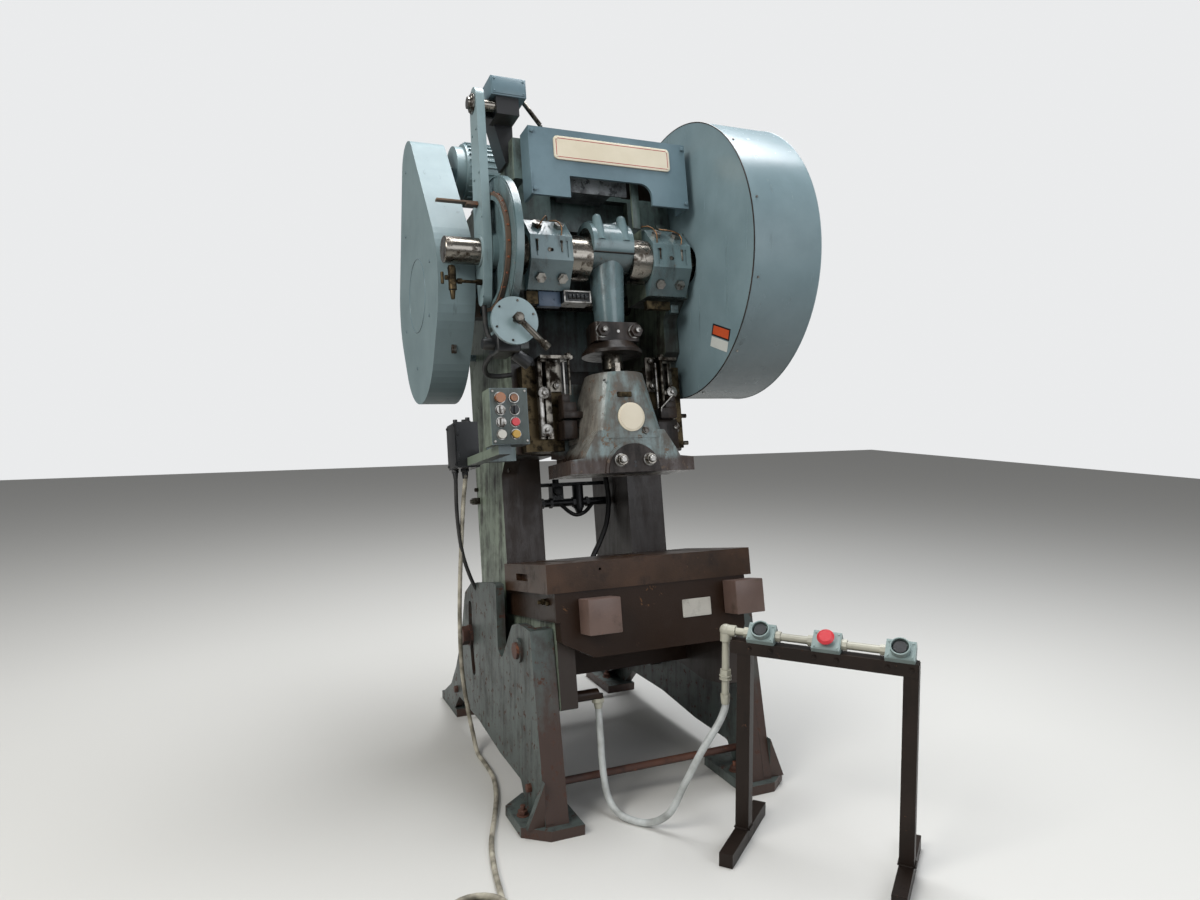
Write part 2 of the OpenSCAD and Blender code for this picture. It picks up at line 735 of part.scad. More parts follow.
module ram_flange() {
    h = flange_w/2;
    along_y(ram_y - flange_front, guide_y - 5) polygon([[-h, ram_bottom], [h, ram_bottom],
        [h, ram_bottom + flange_t], [200, ram_bottom + flange_t + 6], [186, ram_bottom + 85],
        [138, ram_bottom + 160], [-138, ram_bottom + 160], [-186, ram_bottom + 85],
        [-200, ram_bottom + flange_t + 6], [-h, ram_bottom + flange_t]]);
}

// Half-round tool clamp in the ram's lower face.
module ram_clamp() {
    color(oily) inclined() difference() {
        bar_y(ram_y - flange_front - 10, ram_y - 1, 0, ram_bottom, clamp_r);
        span([-300, ram_y - 300, ram_bottom - 300], [300, ram_y + 300, ram_bottom]);
        translate([0, ram_y, ram_bottom - 1]) cylinder(h = 131, r = shank_hole_r);
    }
}

// Bolts of the tool clamp, with the plug and nut on the ram's top.
module ram_bolts() {
    color(steel) inclined() {
        for (s = [-1, 1]) bar_y(ram_y - flange_front - 34, ram_y - flange_front - 10, s*60, ram_bottom + 46, 19);
        translate([-22, ram_y - 74, ram_top]) cylinder(h = 36, r = 20, $fn = 6);
    }
}

// Vee guides of the ram, bolted to the body's guide arms.
module gib() {
    translate([0, 0, guide_low + 6]) linear_extrude(guide_high - guide_low - 12) polygon([
        [slide_half + 2, guide_y - 15], [half_w - 22, guide_y - 15],
        [half_w - 22, wall_front_y], [wall_in, wall_front_y],
        [wall_in, vee_y + vee_depth + arm_gap], [slide_half + 2, vee_y + vee_depth + arm_gap],
        [slide_half + 2, vee_y + vee_depth - 1.6], [slide_half + vee_depth + 0.4, vee_y + 4.2],
        [slide_half + vee_depth + 0.4, vee_y - 4.2], [slide_half + 2, vee_y - vee_depth + 1.6]]);
}

module gibs() {
    color(bronze) inclined() for (s = [0, 1]) mirror([s, 0, 0]) gib();
}

// Steel bars over the gibs with their bolts, a plate beside each, the set screws of the right
// gib, and the knock-out rods that hang from plates on top of the bars.
strap_top = guide_high + 10;

module gib_straps() {
    color(steel) inclined() {
        for (bar = [[-291, -270], [-262, -237], [265, 303]])
            span([bar[0], guide_y - 35, guide_low + 53], [bar[1], guide_y - 15, strap_top]);
        for (p = [[-278, guide_low + 229], [-274, guide_low + 85], [284, guide_low + 233], [284, guide_low + 86]])
            bar_y(guide_y - 60, guide_y - 34, p[0], p[1], 20);
        for (s = [-1, 1]) {
            span([s*211 - 24, guide_y - 27, guide_high - 110], [s*211 + 24, guide_y - 15, guide_high + 32]);
            for (z = [guide_high - 88, guide_high + 15]) bar_y(guide_y - 40, guide_y - 26, s*211, z, 13);
        }
        for (z = [guide_low + 32, guide_low + 148]) bar_x(half_w, half_w + 34, guide_y + 49, z, 9);
        knock_out_rod(-1, 172, 141, 6);
        knock_out_rod(1, 236, 196, 7);
    }
}

rod_y = guide_y - 72;

module knock_out_rod(side, x, l, r) {
    translate([side*x, rod_y, strap_top - l]) cylinder(h = l + 20, r = r);
    translate([side*x, rod_y, strap_top + 12]) cylinder(h = 12, r = r + 7, $fn = 6);
    span([side > 0 ? x - 14 : -291, rod_y - 13, strap_top], [side > 0 ? 303 : 14 - x, guide_y - 15, strap_top + 12]);
}

// Brake drum, keyed to the crank stub: a flange with a smaller ring on its outer face.
brake_x1 = -half_w - 65;
brake_x0 = brake_x1 - brake_w;
flange_x = brake_x1 - 27;

module brake_drum() {
    color(guard_green) inclined() difference() {
        union() {
            bar_x(flange_x, brake_x1, ram_y, crank_z, brake_r);
            difference() {
                bar_x(brake_x0, flange_x + 1, ram_y, crank_z, band_r);
                bar_x(brake_x0 - 1, flange_x, ram_y, crank_z, band_r - 16);
            }
            bar_x(brake_x0, flange_x + 1, ram_y, crank_z, stub_r + 24);
        }
        bar_x(brake_x0 - 1, brake_x1 + 1, ram_y, crank_z, stub_r);
    }
}

// Brake band round the drum's ring, tied by an arm to a pin in the body wall beyond the flange.
band_slope = 35;

module brake_band() {
    r0 = band_r + small_gap;
    pin = brake_r + 20;
    color(oily) inclined() {
        difference() {
            union() {
                bar_x(brake_x0 + 2, flange_x - 2, ram_y, crank_z, r0 + 12);
                translate([brake_x0 + 2, ram_y, crank_z]) rotate([-band_slope, 0, 0])
                    translate([0, 0, -13]) cube([flange_x - brake_x0 - 4, pin, 26]);
            }
            bar_x(brake_x0 + 1, flange_x - 1, ram_y, crank_z, r0);
        }
        bar_x(brake_x0 + 2, -half_w, ram_y + pin*cos(band_slope), crank_z - pin*sin(band_slope), 14);
    }
}

// Gear outline with straight-flanked teeth, centred on the origin.
module gear_outline(teeth, turn) {
    pitch = gear_module*teeth/2;
    root = pitch - 1.25*gear_module;
    tip = pitch + 0.9*gear_module;
    step = 360/teeth;
    rotate(turn) polygon([for (i = [0:teeth - 1], k = [0:3])
        let (a = step*(i + [-0.25, -0.1, 0.1, 0.25][k]), r = [root, tip, tip, root][k])
            [r*cos(a), r*sin(a)]]);
}

// Bull gear: spoked wheel keyed to the right end of the crankshaft.
gear_x0 = gear_guard_in + 70;
gear_x1 = gear_x0 + gear_face;

module bull_gear() {
    pitch = gear_module*bull_teeth/2;
    color(oily) inclined() difference() {
        translate([0, ram_y, crank_z]) along_x(gear_x0, gear_x1) gear_outline(bull_teeth, 0);
        for (x = [gear_x0 - 1, gear_x1 - 30]) difference() {
            bar_x(x, x + 31, ram_y, crank_z, pitch - 45);
            bar_x(x - 1, x + 32, ram_y, crank_z, stub_r + 60);
        }
        bar_x(gear_x0 - 1, gear_x1 + 1, ram_y, crank_z, stub_r + 12);
        for (a = [0:60:300]) bar_x(gear_x0, gear_x1, ram_y + 215*cos(a), crank_z + 215*sin(a), 58);
    }
}

// Backshaft with its pinion, turned so that the teeth mesh, and the hub of its clutch.
module pinion_shaft() {
    mesh_turn = 180 - train_slope - 180/pinion_teeth - train_slope*bull_teeth/pinion_teeth;
    color(steel) inclined() {
        bar_x(-(belt_guard_out - 16), gear_x0 + 1, backshaft_y, backshaft_z, backshaft_r);
        translate([0, backshaft_y, backshaft_z]) along_x(gear_x0, gear_x1)
            gear_outline(pinion_teeth, mesh_turn);
        bar_x(-half_w - boss_l - 74, -half_w - boss_l - 14, backshaft_y, backshaft_z, backshaft_r + 34);
    }
}

// Flywheel, free on the backshaft, driven by the belts.
module flywheel() {
    x0 = belt_x - flywheel_w/2;
    x1 = belt_x + flywheel_w/2;
    color(oily) inclined() difference() {
        bar_x(x0, x1, backshaft_y, backshaft_z, flywheel_r);
        for (x = [x0 - 1, x1 - 28]) difference() {
            bar_x(x, x + 29, backshaft_y, backshaft_z, flywheel_r - 50);
            bar_x(x - 1, x + 30, backshaft_y, backshaft_z, backshaft_r + 50);
        }
        bar_x(x0 - 1, x1 + 1, backshaft_y, backshaft_z, backshaft_r + run_gap);
    }
}

// Motor: ribbed body with end bells and feet on the crown.
motor_x0 = -(belt_guard_out - belt_guard_w) + 45;
motor_x1 = motor_x0 + motor_l;

module motor() {
    color(guard_green) inclined() difference() {
        union() {
            bar_x(motor_x0 + 40, motor_x1 - 40, motor_y, motor_z, motor_r);
            bar_x(motor_x0, motor_x1, motor_y, motor_z, motor_r - 14);
            span([motor_x0 + 110, motor_y - 110, crown_top], [motor_x1 - 60, motor_y + 110, crown_top + 22]);
            span([motor_x0 + 110, motor_y - 70, crown_top + 20], [motor_x1 - 60, motor_y + 70, crown_top + 60]);
        }
        bar_x(motor_x0 - 1, motor_x1 - 60, motor_y, motor_z, 24 + run_gap);
    }
}

// Motor shaft and its grooved sheave.
module motor_sheave() {
    color(oily) inclined() {
        bar_x(belt_x + flywheel_w/2 - 1, motor_x1 - 62, motor_y, motor_z, 24);
        bar_x(belt_x - flywheel_w/2, belt_x + flywheel_w/2, motor_y, motor_z, sheave_r);
    }
}

// Outline of a belt run round both rims at a distance: two arcs joined by tangents.
function belt_points(extra) =
    let (run = [motor_y - backshaft_y, motor_z - backshaft_z],
        aim = atan2(run[1], run[0]), half = acos((flywheel_r - sheave_r)/norm(run)))
    concat([for (i = [0:44]) let (a = aim + half + (360 - 2*half)*i/44)
            [backshaft_y + (flywheel_r + extra)*cos(a), backshaft_z + (flywheel_r + extra)*sin(a)]],
        [for (i = [0:14]) let (a = aim - half + 2*half*i/14)
            [motor_y + (sheave_r + extra)*cos(a), motor_z + (sheave_r + extra)*sin(a)]]);

// Vee belts from the motor sheave to the flywheel.
module v_belts() {
    pitch = flywheel_w/(belts + 0.5);
    color(black) inclined() for (i = [0:belts - 1]) {
        x = belt_x + (i - (belts - 1)/2)*pitch;
        along_x(x - pitch*0.36, x + pitch*0.36) difference() {
            polygon(belt_points(2*small_gap + belt_t));
            polygon(belt_points(2*small_gap));
        }
    }
}

// Round sheet guard over the bull gear and pinion, a little behind and above the crank axis,
// on four pads of the body wall.
guard_y = ram_y + 70;
guard_z = crank_z + 28;
pad_spots = [[-270, -285], [-270, 255], [0, -255], [20, 225]];

module gear_guard() {
    x0 = gear_guard_in;
    x1 = gear_guard_in + gear_guard_w;
    color(guard_green) inclined() {
        difference() {
            bar_x(x0, x1, guard_y, guard_z, gear_guard_r);
            bar_x(x0 + sheet_t, x1 - sheet_t, guard_y, guard_z, gear_guard_r - sheet_t);
            bar_x(x0 - 1, x0 + sheet_t + 1, ram_y, crank_z, main_r + 10);
            bar_x(x0 - 1, x0 + sheet_t + 1, backshaft_y, backshaft_z, boss_r + small_gap);
        }
        for (p = pad_spots) bar_x(half_w, x0 + 1, p[0], crank_z + p[1], 16);
    }
}

belt_guard_r = flywheel_r + 31;
guard_sag = flywheel_r*0.48;

module belt_guard_outline() {
    hull() {
        translate([backshaft_y, backshaft_z]) circle(r = belt_guard_r, $fn = 72);
        translate([backshaft_y + 13, backshaft_z - guard_sag]) circle(r = belt_guard_r - guard_sag/2, $fn = 60);
        translate([motor_y, motor_z]) circle(r = sheave_r + 36, $fn = 40);
    }
}

// Teardrop sheet guard over the flywheel, the belts and the motor sheave.
module belt_guard() {
    x0 = -belt_guard_out;
    x1 = x0 + belt_guard_w;
    color(guard_green) inclined() {
        difference() {
            along_x(x0, x1) belt_guard_outline();
            along_x(x0 + sheet_t, x1 - sheet_t) offset(delta = -sheet_t) belt_guard_outline();
            bar_x(x1 - sheet_t - 1, x1 + 1, backshaft_y, backshaft_z, backshaft_r + 8);
            bar_x(x1 - sheet_t - 1, x1 + 1, motor_y, motor_z, 34);
        }
        for (p = [[back_y - 100, crank_z - 265], [back_y - 110, crank_z + 155]])
            bar_x(x1 - 1, -half_w, p[0], p[1], 15);
    }
}

// Crown cover: cast hood in front of the crown with an arched opening below its name place.
cover_half = cover_w/2;
cover_front = ram_y - cover_reach;
cover_low = crank_z + cover_rise;
cover_high = cover_low + cover_h;
notch_high = cover_low + 85;

module notch_outline() {
    difference() {
        translate([-177, cover_low - 10]) square([349, 95]);
        difference() {
            translate([172 - 50, notch_high - 50]) square([51, 51]);
            translate([172 - 50, notch_high - 50]) circle(r = 50, $fn = 32);
        }
    }
}

module crown_cover() {
    color(cover_blue) inclined() difference() {
        span([-cover_half, cover_front, cover_low], [cover_half, ear_front_y, cover_high]);
        span([-cover_half + 12, cover_front + 12, cover_low - 1], [cover_half - 12, ear_front_y + 1, cover_high - 12]);
        along_y(cover_front - 1, cover_front + 14) notch_outline();
    }
}

// Lubricant tank behind the arched opening, on the front of the crown.
module oil_tank() {
    color(steel) inclined() span([-150, ram_y - 30, cover_low + 70], [46, guide_y, cover_low + 168]);
}

// Chain case from below the crank stub up to the cam shaft of the limit switch.
case_x0 = -half_w - 147;
case_x1 = -half_w - 115;
cam_y = ram_y - 25;
cam_z = crank_z + cam_rise;

module chain_case() {
    color(guard_green) inclined() difference() {
        along_x(case_x0, case_x1) hull() {
            translate([ram_y + 15, crank_z - 165]) circle(r = 38, $fn = 40);
            translate([ram_y, crank_z]) circle(r = stub_r + 12, $fn = 48);
            translate([cam_y - 5, cam_z + 13]) circle(r = 44, $fn = 40);
        }
        bar_x(case_x0 - 1, case_x1 + 1, ram_y, crank_z, stub_r + small_gap);
        bar_x(case_x0 - 1, case_x1 + 1, cam_y, cam_z, cam_shaft_r + run_gap);
    }
}

// Cam shaft of the limit switch, turned by the chain at crank speed.
cam_shaft_r = 22;

module cam_shaft() {
    color(steel) inclined() {
        bar_x(case_x0 - 22, -half_w - 40, cam_y, cam_z, cam_shaft_r);
        bar_x(case_x0 - 12, case_x0 - 1, cam_y, cam_z, cam_shaft_r + 8);
    }
}

// Rotary limit switch: a housing round the cam shaft with its box on top, and a bracket that
// stands on the crown. A tab ties the chain case to it.
module limit_switch() {
    color(black) inclined() difference() {
        union() {
            span([-half_w - 63, cam_y - 30, cam_z - 40], [-half_w + 27, cam_y + 75, cam_z + 33]);
            span([-half_w - 81, cam_y - 35, cam_z + 32], [-half_w + 56, cam_y + 85, cam_z + 104]);
            along_y(cam_y + 60, guide_y + 20) polygon([[-half_w - 10, crown_top], [-half_w + 24, crown_top],
                [-half_w + 27, cam_z + 20], [-half_w - 63, cam_z + 20]]);
            span([case_x1, cam_y + 30, cam_z - 30], [-half_w - 62, cam_y + 40, cam_z]);
        }
        bar_x(-half_w - 64, -half_w - 38, cam_y, cam_z, cam_shaft_r + run_gap);
    }
}

// Rotary air valve with its round cover plate, and the lever on it.
valve_x = -half_w - 90;
valve_front = ram_y - 195;

module air_valve() {
    color(guard_green) inclined() difference() {
        union() {
            bar_y(valve_front, valve_front + 16, valve_x, valve_z, valve_r);
            bar_y(valve_front + 15, guide_y + 40, valve_x, valve_z, 20);
            bar_x(valve_x, -half_w, guide_y + 20, valve_z, 15);
        }
        bar_y(valve_front - 1, valve_front + 60, valve_x, valve_z, 9 + run_gap);
    }
}

module valve_handle() {
    color(oily) inclined() {
        bar_y(valve_front - 42, valve_front + 50, valve_x, valve_z, 9);
        translate([valve_x, valve_front - 34, valve_z]) rotate([0, 135, 0])
            cylinder(h = 120, r = 8);
    }
}

// Control panel: sheet box on a channel that also carries the power box.
panel_x1 = -half_w - 52;
panel_x0 = panel_x1 - panel_w;
panel_front = ram_y - 160;
panel_high = panel_low + panel_h;
channel_x = panel_x1 - 87;
box_front_y = panel_front + 440;

module control_panel() {
    color(cast_green) inclined() difference() {
        union() {
            span([panel_x0, panel_front, panel_low], [panel_x1, panel_front + 90, panel_high]);
            span([channel_x - 23, panel_front + 20, panel_low - 32], [channel_x + 23, box_front_y, panel_low]);
            span([channel_x + 22, guide_y + 50, panel_low - 30], [-half_w, guide_y + 90, panel_low + 30]);
        }
        for (p = moving_places) bar_y(panel_front - 1, panel_front + 30, p[0], p[1], button_r + small_gap);
    }
}

// Place of an operator on the panel, by row from the top and column from the left.
function panel_spot(row, col) = [panel_x0 + 35 + 52*col, panel_high - 36 - 43*row];
moving_places = [for (rc = [[1, 0], [2, 0], [3, 0], [1, 1], [2, 1], [3, 1]]) panel_spot(rc[0], rc[1])];

// A push button: round head on a stem that slides into the panel.
module push_button(spot, head_r) {
    bar_y(panel_front - 10, panel_front + 16, spot[0], spot[1], button_r);
    bar_y(panel_front - 16, panel_front - 4 - button_travel + 2, spot[0], spot[1], head_r);
}

// A selector: round knob with a grip bar, turned by hand.
module selector(spot) {
    bar_y(panel_front - 10, panel_front + 16, spot[0], spot[1], button_r);
    bar_y(panel_front - 12, panel_front - small_gap, spot[0], spot[1], 15);
    span([spot[0] - 4, panel_front - 22, spot[1] - 14], [spot[0] + 4, panel_front - 11, spot[1] + 14]);
}

module panel_lamps() {
    color("#d98a3a") inclined() {
        bar_y(panel_front - 20, panel_front, panel_spot(0, 0)[0], panel_spot(0, 0)[1], 18);
        bar_y(panel_front - 14, panel_front, panel_spot(0, 1)[0], panel_spot(0, 1)[1], 13);
    }
}

module upper_selector() color(steel) inclined() selector(panel_spot(1, 0));

module lower_selector() color(steel) inclined() selector(panel_spot(2, 0));

module key_switch() color(black) inclined() selector(panel_spot(1, 1));

module white_button() color("#d8d8d2") inclined() push_button(panel_spot(3, 0), 15);

module red_button() color("#b8323a") inclined() push_button(panel_spot(2, 1), 14);

module yellow_button() color("#d9b23a") inclined() push_button(panel_spot(3, 1), 14);

// Stroke counter under the left main bearing.
module stroke_counter() {
    color(black) inclined() {
        span([-204, ram_y - 34, crank_z - bearing_half - 48], [-91, ram_y + 30, crank_z - bearing_half]);
    }
}

// Drip oiler on the lower end of the chain case.
module oiler() {
    z = crank_z - 120;
    color(bronze) inclined() {
        bar_x(case_x0 - 110, case_x0, ram_y - 10, z, 6);
        translate([case_x0 - 112, ram_y - 10, z - 34]) cylinder(h = 80, r = 15);
    }
}

// Junction box at the back end of the channel.
module power_box() {
    color(black) inclined() span([channel_x - 63, box_front_y, panel_low - 38],
        [channel_x + 27, box_front_y + 140, panel_low + 144]);
}

// Air line across the throat with its filter bowl and pressure regulator.
air_y = upright_y + 239;
air_z = bed_top + 340;

module air_unit() {
    x = half_w - upright_w;
    color(black) inclined() {
        bar_x(-x, x, air_y, air_z, 18);
        translate([62, air_y, air_z - 28]) cylinder(h = 105, r = 25);
        span([-70, air_y - 24, air_z + 12], [-17, air_y + 24, air_z + 87]);
        bar_x(-x, x, air_y, air_z + 82, 9);
    }
}

// Operator stand: two square posts on cross feet and an angle crossbar.
module on_stand() {
    translate([stand_x, -stand_front, 0]) rotate([0, 0, -stand_turn]) children();
}

bar_left = -45;
angle_t = 5;
angle_side = post_w/2 + angle_t;

module stand() {
    h = post_w/2;
    color(oily) on_stand() {
        for (x = [0, post_gap]) {
            span([x - h, -h, post_w - 1], [x + h, h, stand_h - angle_t + 1]);
            span([x - h, -195, 0], [x + h, 195, post_w]);
        }
        span([bar_left, -angle_side, stand_h - angle_t], [bar_left + crossbar_l, h, stand_h]);
        span([bar_left, -angle_side, stand_h - 41], [bar_left + crossbar_l, -h, stand_h]);
    }
}

// Button boxes on the crossbar: each has a tilted face, and the outer two a ring guard.
box_w = 88;
face_l = 65;
face_y = -15;
face_rise = 37;
box_xs = [55, 265, 487];
ring_r = 30;
palm_r = 20;
palm_stem_r = 10;

module button_box(x) {
    n = [-cos(button_tilt), sin(button_tilt)];
    d = [sin(button_tilt), cos(button_tilt)];
    c = [face_y, stand_h + face_rise];
    along_x(x - box_w/2, x + box_w/2) polygon([[-angle_side, stand_h], [post_w/2, stand_h],
        c + d*face_l/2 - n*35, c + d*face_l/2, c - d*face_l/2]);
}

// Places children on a box face, with +Z out of the face.
module on_face(i) {
    on_stand() translate([box_xs[i], face_y, stand_h + face_rise])
        rotate([90 - button_tilt, 0, 0]) children();
}

module button_boxes() {
    color(guard_green) difference() {
        union() {
            on_stand() for (x = box_xs) button_box(x);
            for (i = [0, 2]) on_face(i) difference() {
                translate([0, 0, -1]) cylinder(h = 23, r = ring_r);
                cylinder(h = 23, r = ring_r - 4);
            }
        }
        for (i = [0:2]) on_face(i) translate([0, 0, -24]) cylinder(h = 25, r = palm_stem_r + small_gap);
    }
}

// A palm button: wide cap on a stem that slides into its box.
module palm_button() {
    translate([0, 0, -14]) cylinder(h = 24, r = palm_stem_r);
    translate([0, 0, 8]) cylinder(h = 10, r = palm_r);
}

module left_palm_button() color(black) on_face(0) palm_button();

module right_palm_button() color(black) on_face(2) palm_button();

// Red mushroom stop button of the middle box.
module stop_button() {
    color("#d8393f") on_face(1) {
        translate([0, 0, -14]) cylinder(h = 30, r = palm_stem_r);
        translate([0, 0, 14]) cylinder(h = 8, r1 = 24, r2 = 27);
        translate([0, 0, 22]) cylinder(h = 6, r1 = 27, r2 = 19);
    }
}

// Rigid conduit through the boxes, its elbow and the pipe down to the flexible conduit.
pipe_r = 12.5;
pipe_x = -70;
pipe_y = 4;
pipe_z = stand_h + 24;
pipe_low = stand_h - 210;

module stand_conduit() {
    color(galvanised) on_stand() {
        for (run = [[pipe_x, box_xs[0] - box_w/2], [box_xs[0] + box_w/2, box_xs[1] - box_w/2],
            [box_xs[1] + box_w/2, box_xs[2] - box_w/2]]) bar_x(run[0], run[1], pipe_y, pipe_z, pipe_r);
        translate([pipe_x, pipe_y, pipe_z]) sphere(r = 21);
        bar_x(pipe_x, pipe_x + 34, pipe_y, pipe_z, 19);
        translate([pipe_x, pipe_y, pipe_z - 36]) cylinder(h = 36, r = 19);
        translate([pipe_x, pipe_y, pipe_low]) cylinder(h = pipe_z - pipe_low, r = pipe_r);
        translate([pipe_x, pipe_y, pipe_low + 66]) cylinder(h = 34, r = 19, $fn = 6);
    }
}

// Rings of a cord: points along a smooth curve through the given places.
function curve_point(p, i, t) =
    let (n = len(p) - 1, a = p[max(i - 1, 0)], b = p[i], c = p[min(i + 1, n)], d = p[min(i + 2, n)])
    0.5*(2*b + (c - a)*t + (2*a - 5*b + 4*c - d)*t*t + (3*b - a - 3*c + d)*t*t*t);

function curve(p, steps) = concat([for (i = [0:len(p) - 2], k = [0:steps - 1])
    curve_point(p, i, k/steps)], [p[len(p) - 1]]);

function unit(v) = v/norm(v);

// A cord as a tube of flat-sided rings along a curve; side_hint is never along the curve.
module cord(path, r, side_hint, sides = 10) {
    n = len(path) - 1;
    rings = [for (i = [0:n], k = [0:sides - 1])
        let (t = unit(path[min(i + 1, n)] - path[max(i - 1, 0)]), u = unit(cross(t, side_hint)),
            v = cross(t, u), a = 360*(k + 0.5)/sides)
        path[i] + r*(cos(a)*u + sin(a)*v)];
    walls = [for (i = [0:n - 1], k = [0:sides - 1]) let (m = (k + 1)%sides)
        [i*sides + k, i*sides + m, (i + 1)*sides + m, (i + 1)*sides + k]];
    polyhedron(rings, concat([[for (k = [sides - 1:-1:0]) k]], walls,
        [[for (k = [0:sides - 1]) n*sides + k]]));
}

// Where a point of the upright body comes to lie when the body leans.
function leaned(p) = let (c = cos(incline_deg), s = sin(incline_deg), y = p[1] - pivot_y, z = p[2] - pivot_z)
    [p[0], pivot_y + c*y + s*z, pivot_z - s*y + c*z];

function stand_place(x, y, z) = let (c = cos(stand_turn), s = sin(stand_turn))
    [stand_x + c*x + s*y, -stand_front - s*x + c*y, z];

flex_r = 12.5;
cord_gap = 0.5;
flex_end = stand_place(pipe_x, pipe_y, pipe_low - cord_gap);
flex_places = [leaned([elbow_x, elbow_y, elbow_z - 24 - cord_gap]), leaned([elbow_x, elbow_y, elbow_z - 37]),
    leaned([elbow_x, elbow_y, elbow_z - 60]),
    [-203, -600, 240], [-203, -618, 150], [-195, -650, 60], [-170, -710, 18],
    [-110, -790, 18], [-60, -850, 70], [-25, -890, 180], [20, -925, 300],
    [flex_end[0] - 22, flex_end[1] + 2, 390], flex_end - [0, 0, 30],
    flex_end - [0, 0, 10], flex_end];

module flex_conduit() color(galvanised) cord(curve(flex_places, 3), flex_r, [1, 0.4, 0]);

// Power cable: from the junction box down beside the left leg and along the floor.
cable_r = 9;
cable_x = channel_x - 17;
cable_end = [-720, -1120, 10];
cable_places = [leaned([cable_x, -90, panel_low - 38 - cord_gap]), leaned([cable_x, -90, panel_low - 52]),
    leaned([cable_x, -90, panel_low - 80]),
    [-524, 50, 1060], [-524, 90, 880], [-524, 120, 700], [-524, 130, 520],
    [-518, 130, 340], [-500, 115, 180], [-486, 80, 70], [-484, 20, 12], [-484, -80, 10],
    [-490, -220, 10], [-524, -370, 10], [-580, -530, 10], [-636, -680, 10], [-672, -830, 10],
    [-698, -990, 10], cable_end];

module power_cable() color(galvanised) cord(curve(cable_places, 4), cable_r, [1, 0, 0.05]);

coil_r = 90;
coil_turns = 3;

module power_coil() {
    color(galvanised) translate([cable_end[0] - coil_r, cable_end[1], 0]) rotate_extrude()
        translate([coil_r - cable_r, 1]) square([2*cable_r, 2*cable_r*coil_turns]);
}

module power_plug() {
    color(black) translate([cable_end[0] - coil_r, cable_end[1] - coil_r - cable_r - 60, 0])
        span([-28, 0, 0], [28, 60, 44]);
}

left_leg();
right_leg();
leg_ties();
clamp_bolts();
frame();
cross_members();
bolster();
bolster_bolts();
crankshaft();
bearing_bushes();
bearing_caps();
cap_bolts();
pitman();
pitman_bolts();
adjusting_screw();
clamp_collar();
ram();
ram_clamp();
ram_bolts();
gibs();
gib_straps();
brake_drum();
brake_band();
bull_gear();
pinion_shaft();
flywheel();
motor();
motor_sheave();
v_belts();
gear_guard();
belt_guard();
crown_cover();
oil_tank();
chain_case();
cam_shaft();
limit_switch();
air_valve();
valve_handle();
control_panel();
panel_lamps();
upper_selector();
lower_selector();
key_switch();
white_button();
red_button();
yellow_button();
stroke_counter();
oiler();
power_box();
air_unit();
stand();
button_boxes();
left_palm_button();
right_palm_button();
stop_button();
stand_conduit();
flex_conduit();
power_cable();
power_coil();
power_plug();
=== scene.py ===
import bpy
import bmesh
import math
from mathutils import Matrix, Vector


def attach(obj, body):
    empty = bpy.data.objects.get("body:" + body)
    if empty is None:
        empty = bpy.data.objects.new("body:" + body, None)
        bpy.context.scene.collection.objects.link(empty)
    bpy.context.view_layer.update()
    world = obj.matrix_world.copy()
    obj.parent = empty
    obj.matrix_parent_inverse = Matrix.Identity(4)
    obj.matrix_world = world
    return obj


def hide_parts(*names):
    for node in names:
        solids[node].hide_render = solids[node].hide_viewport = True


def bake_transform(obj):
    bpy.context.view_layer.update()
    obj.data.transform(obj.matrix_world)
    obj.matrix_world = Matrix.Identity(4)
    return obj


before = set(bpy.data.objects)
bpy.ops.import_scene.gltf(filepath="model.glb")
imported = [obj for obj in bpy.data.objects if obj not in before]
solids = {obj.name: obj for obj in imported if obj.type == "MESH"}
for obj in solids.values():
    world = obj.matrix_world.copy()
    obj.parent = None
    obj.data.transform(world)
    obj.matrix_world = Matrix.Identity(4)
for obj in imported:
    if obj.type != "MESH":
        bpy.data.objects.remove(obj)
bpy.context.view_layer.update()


# Camera and room: a pale floor, a pale backdrop and soft lamps. The camera stands at head
# height to the left of the press and looks slightly down, as the photograph does.
def linear(hex_colour):
    """A colour written as sRGB hex, turned to the linear value that a shader takes."""
    parts = [int(hex_colour[i:i + 2], 16)/255 for i in (1, 3, 5)]
    return [p/12.92 if p <= 0.04045 else ((p + 0.055)/1.055)**2.4 for p in parts] + [1.0]


def add(material, kind, settings=None, links=None):
    """Adds one shader node: settings go to its values or sockets, links name what feeds a socket.

    A link names a socket, or a node, which stands for its first output.
    """
    tree = material.node_tree
    shader_node = tree.nodes.new(kind)
    for key, value in (settings or {}).items():
        if isinstance(key, str) and hasattr(shader_node, key):
            setattr(shader_node, key, value)
        else:
            shader_node.inputs[key].default_value = value
    for key, source in (links or {}).items():
        tree.links.new(getattr(source, "outputs", [source])[0], shader_node.inputs[key])
    return shader_node


link = bpy.context.scene.collection.objects.link
camera_data = bpy.data.cameras.new("camera")
camera_data.lens = 25.65
camera_data.sensor_width = 36.0
camera = bpy.data.objects.new("camera", camera_data)
camera.location = (-1.422, -3.327, 1.5)
camera.rotation_euler = (math.radians(86.093), 0.0, math.radians(-24.02))
link(camera)
bpy.context.scene.camera = camera
bpy.context.scene.view_settings.view_transform = "Standard"

floor_mesh = bmesh.new()
bmesh.ops.create_grid(floor_mesh, x_segments=1, y_segments=1, size=14.0)
floor_data = bpy.data.meshes.new("floor")
floor_mesh.to_mesh(floor_data)
floor_mesh.free()
floor = bpy.data.objects.new("floor", floor_data)
link(floor)

pale_floor = bpy.data.materials.new("pale_floor")
pale_floor.use_nodes = True
pale_floor.node_tree.nodes["Principled BSDF"].inputs["Base Color"].default_value = linear("#CFCECA")
pale_floor.node_tree.nodes["Principled BSDF"].inputs["Roughness"].default_value = 0.7
floor_data.materials.append(pale_floor)

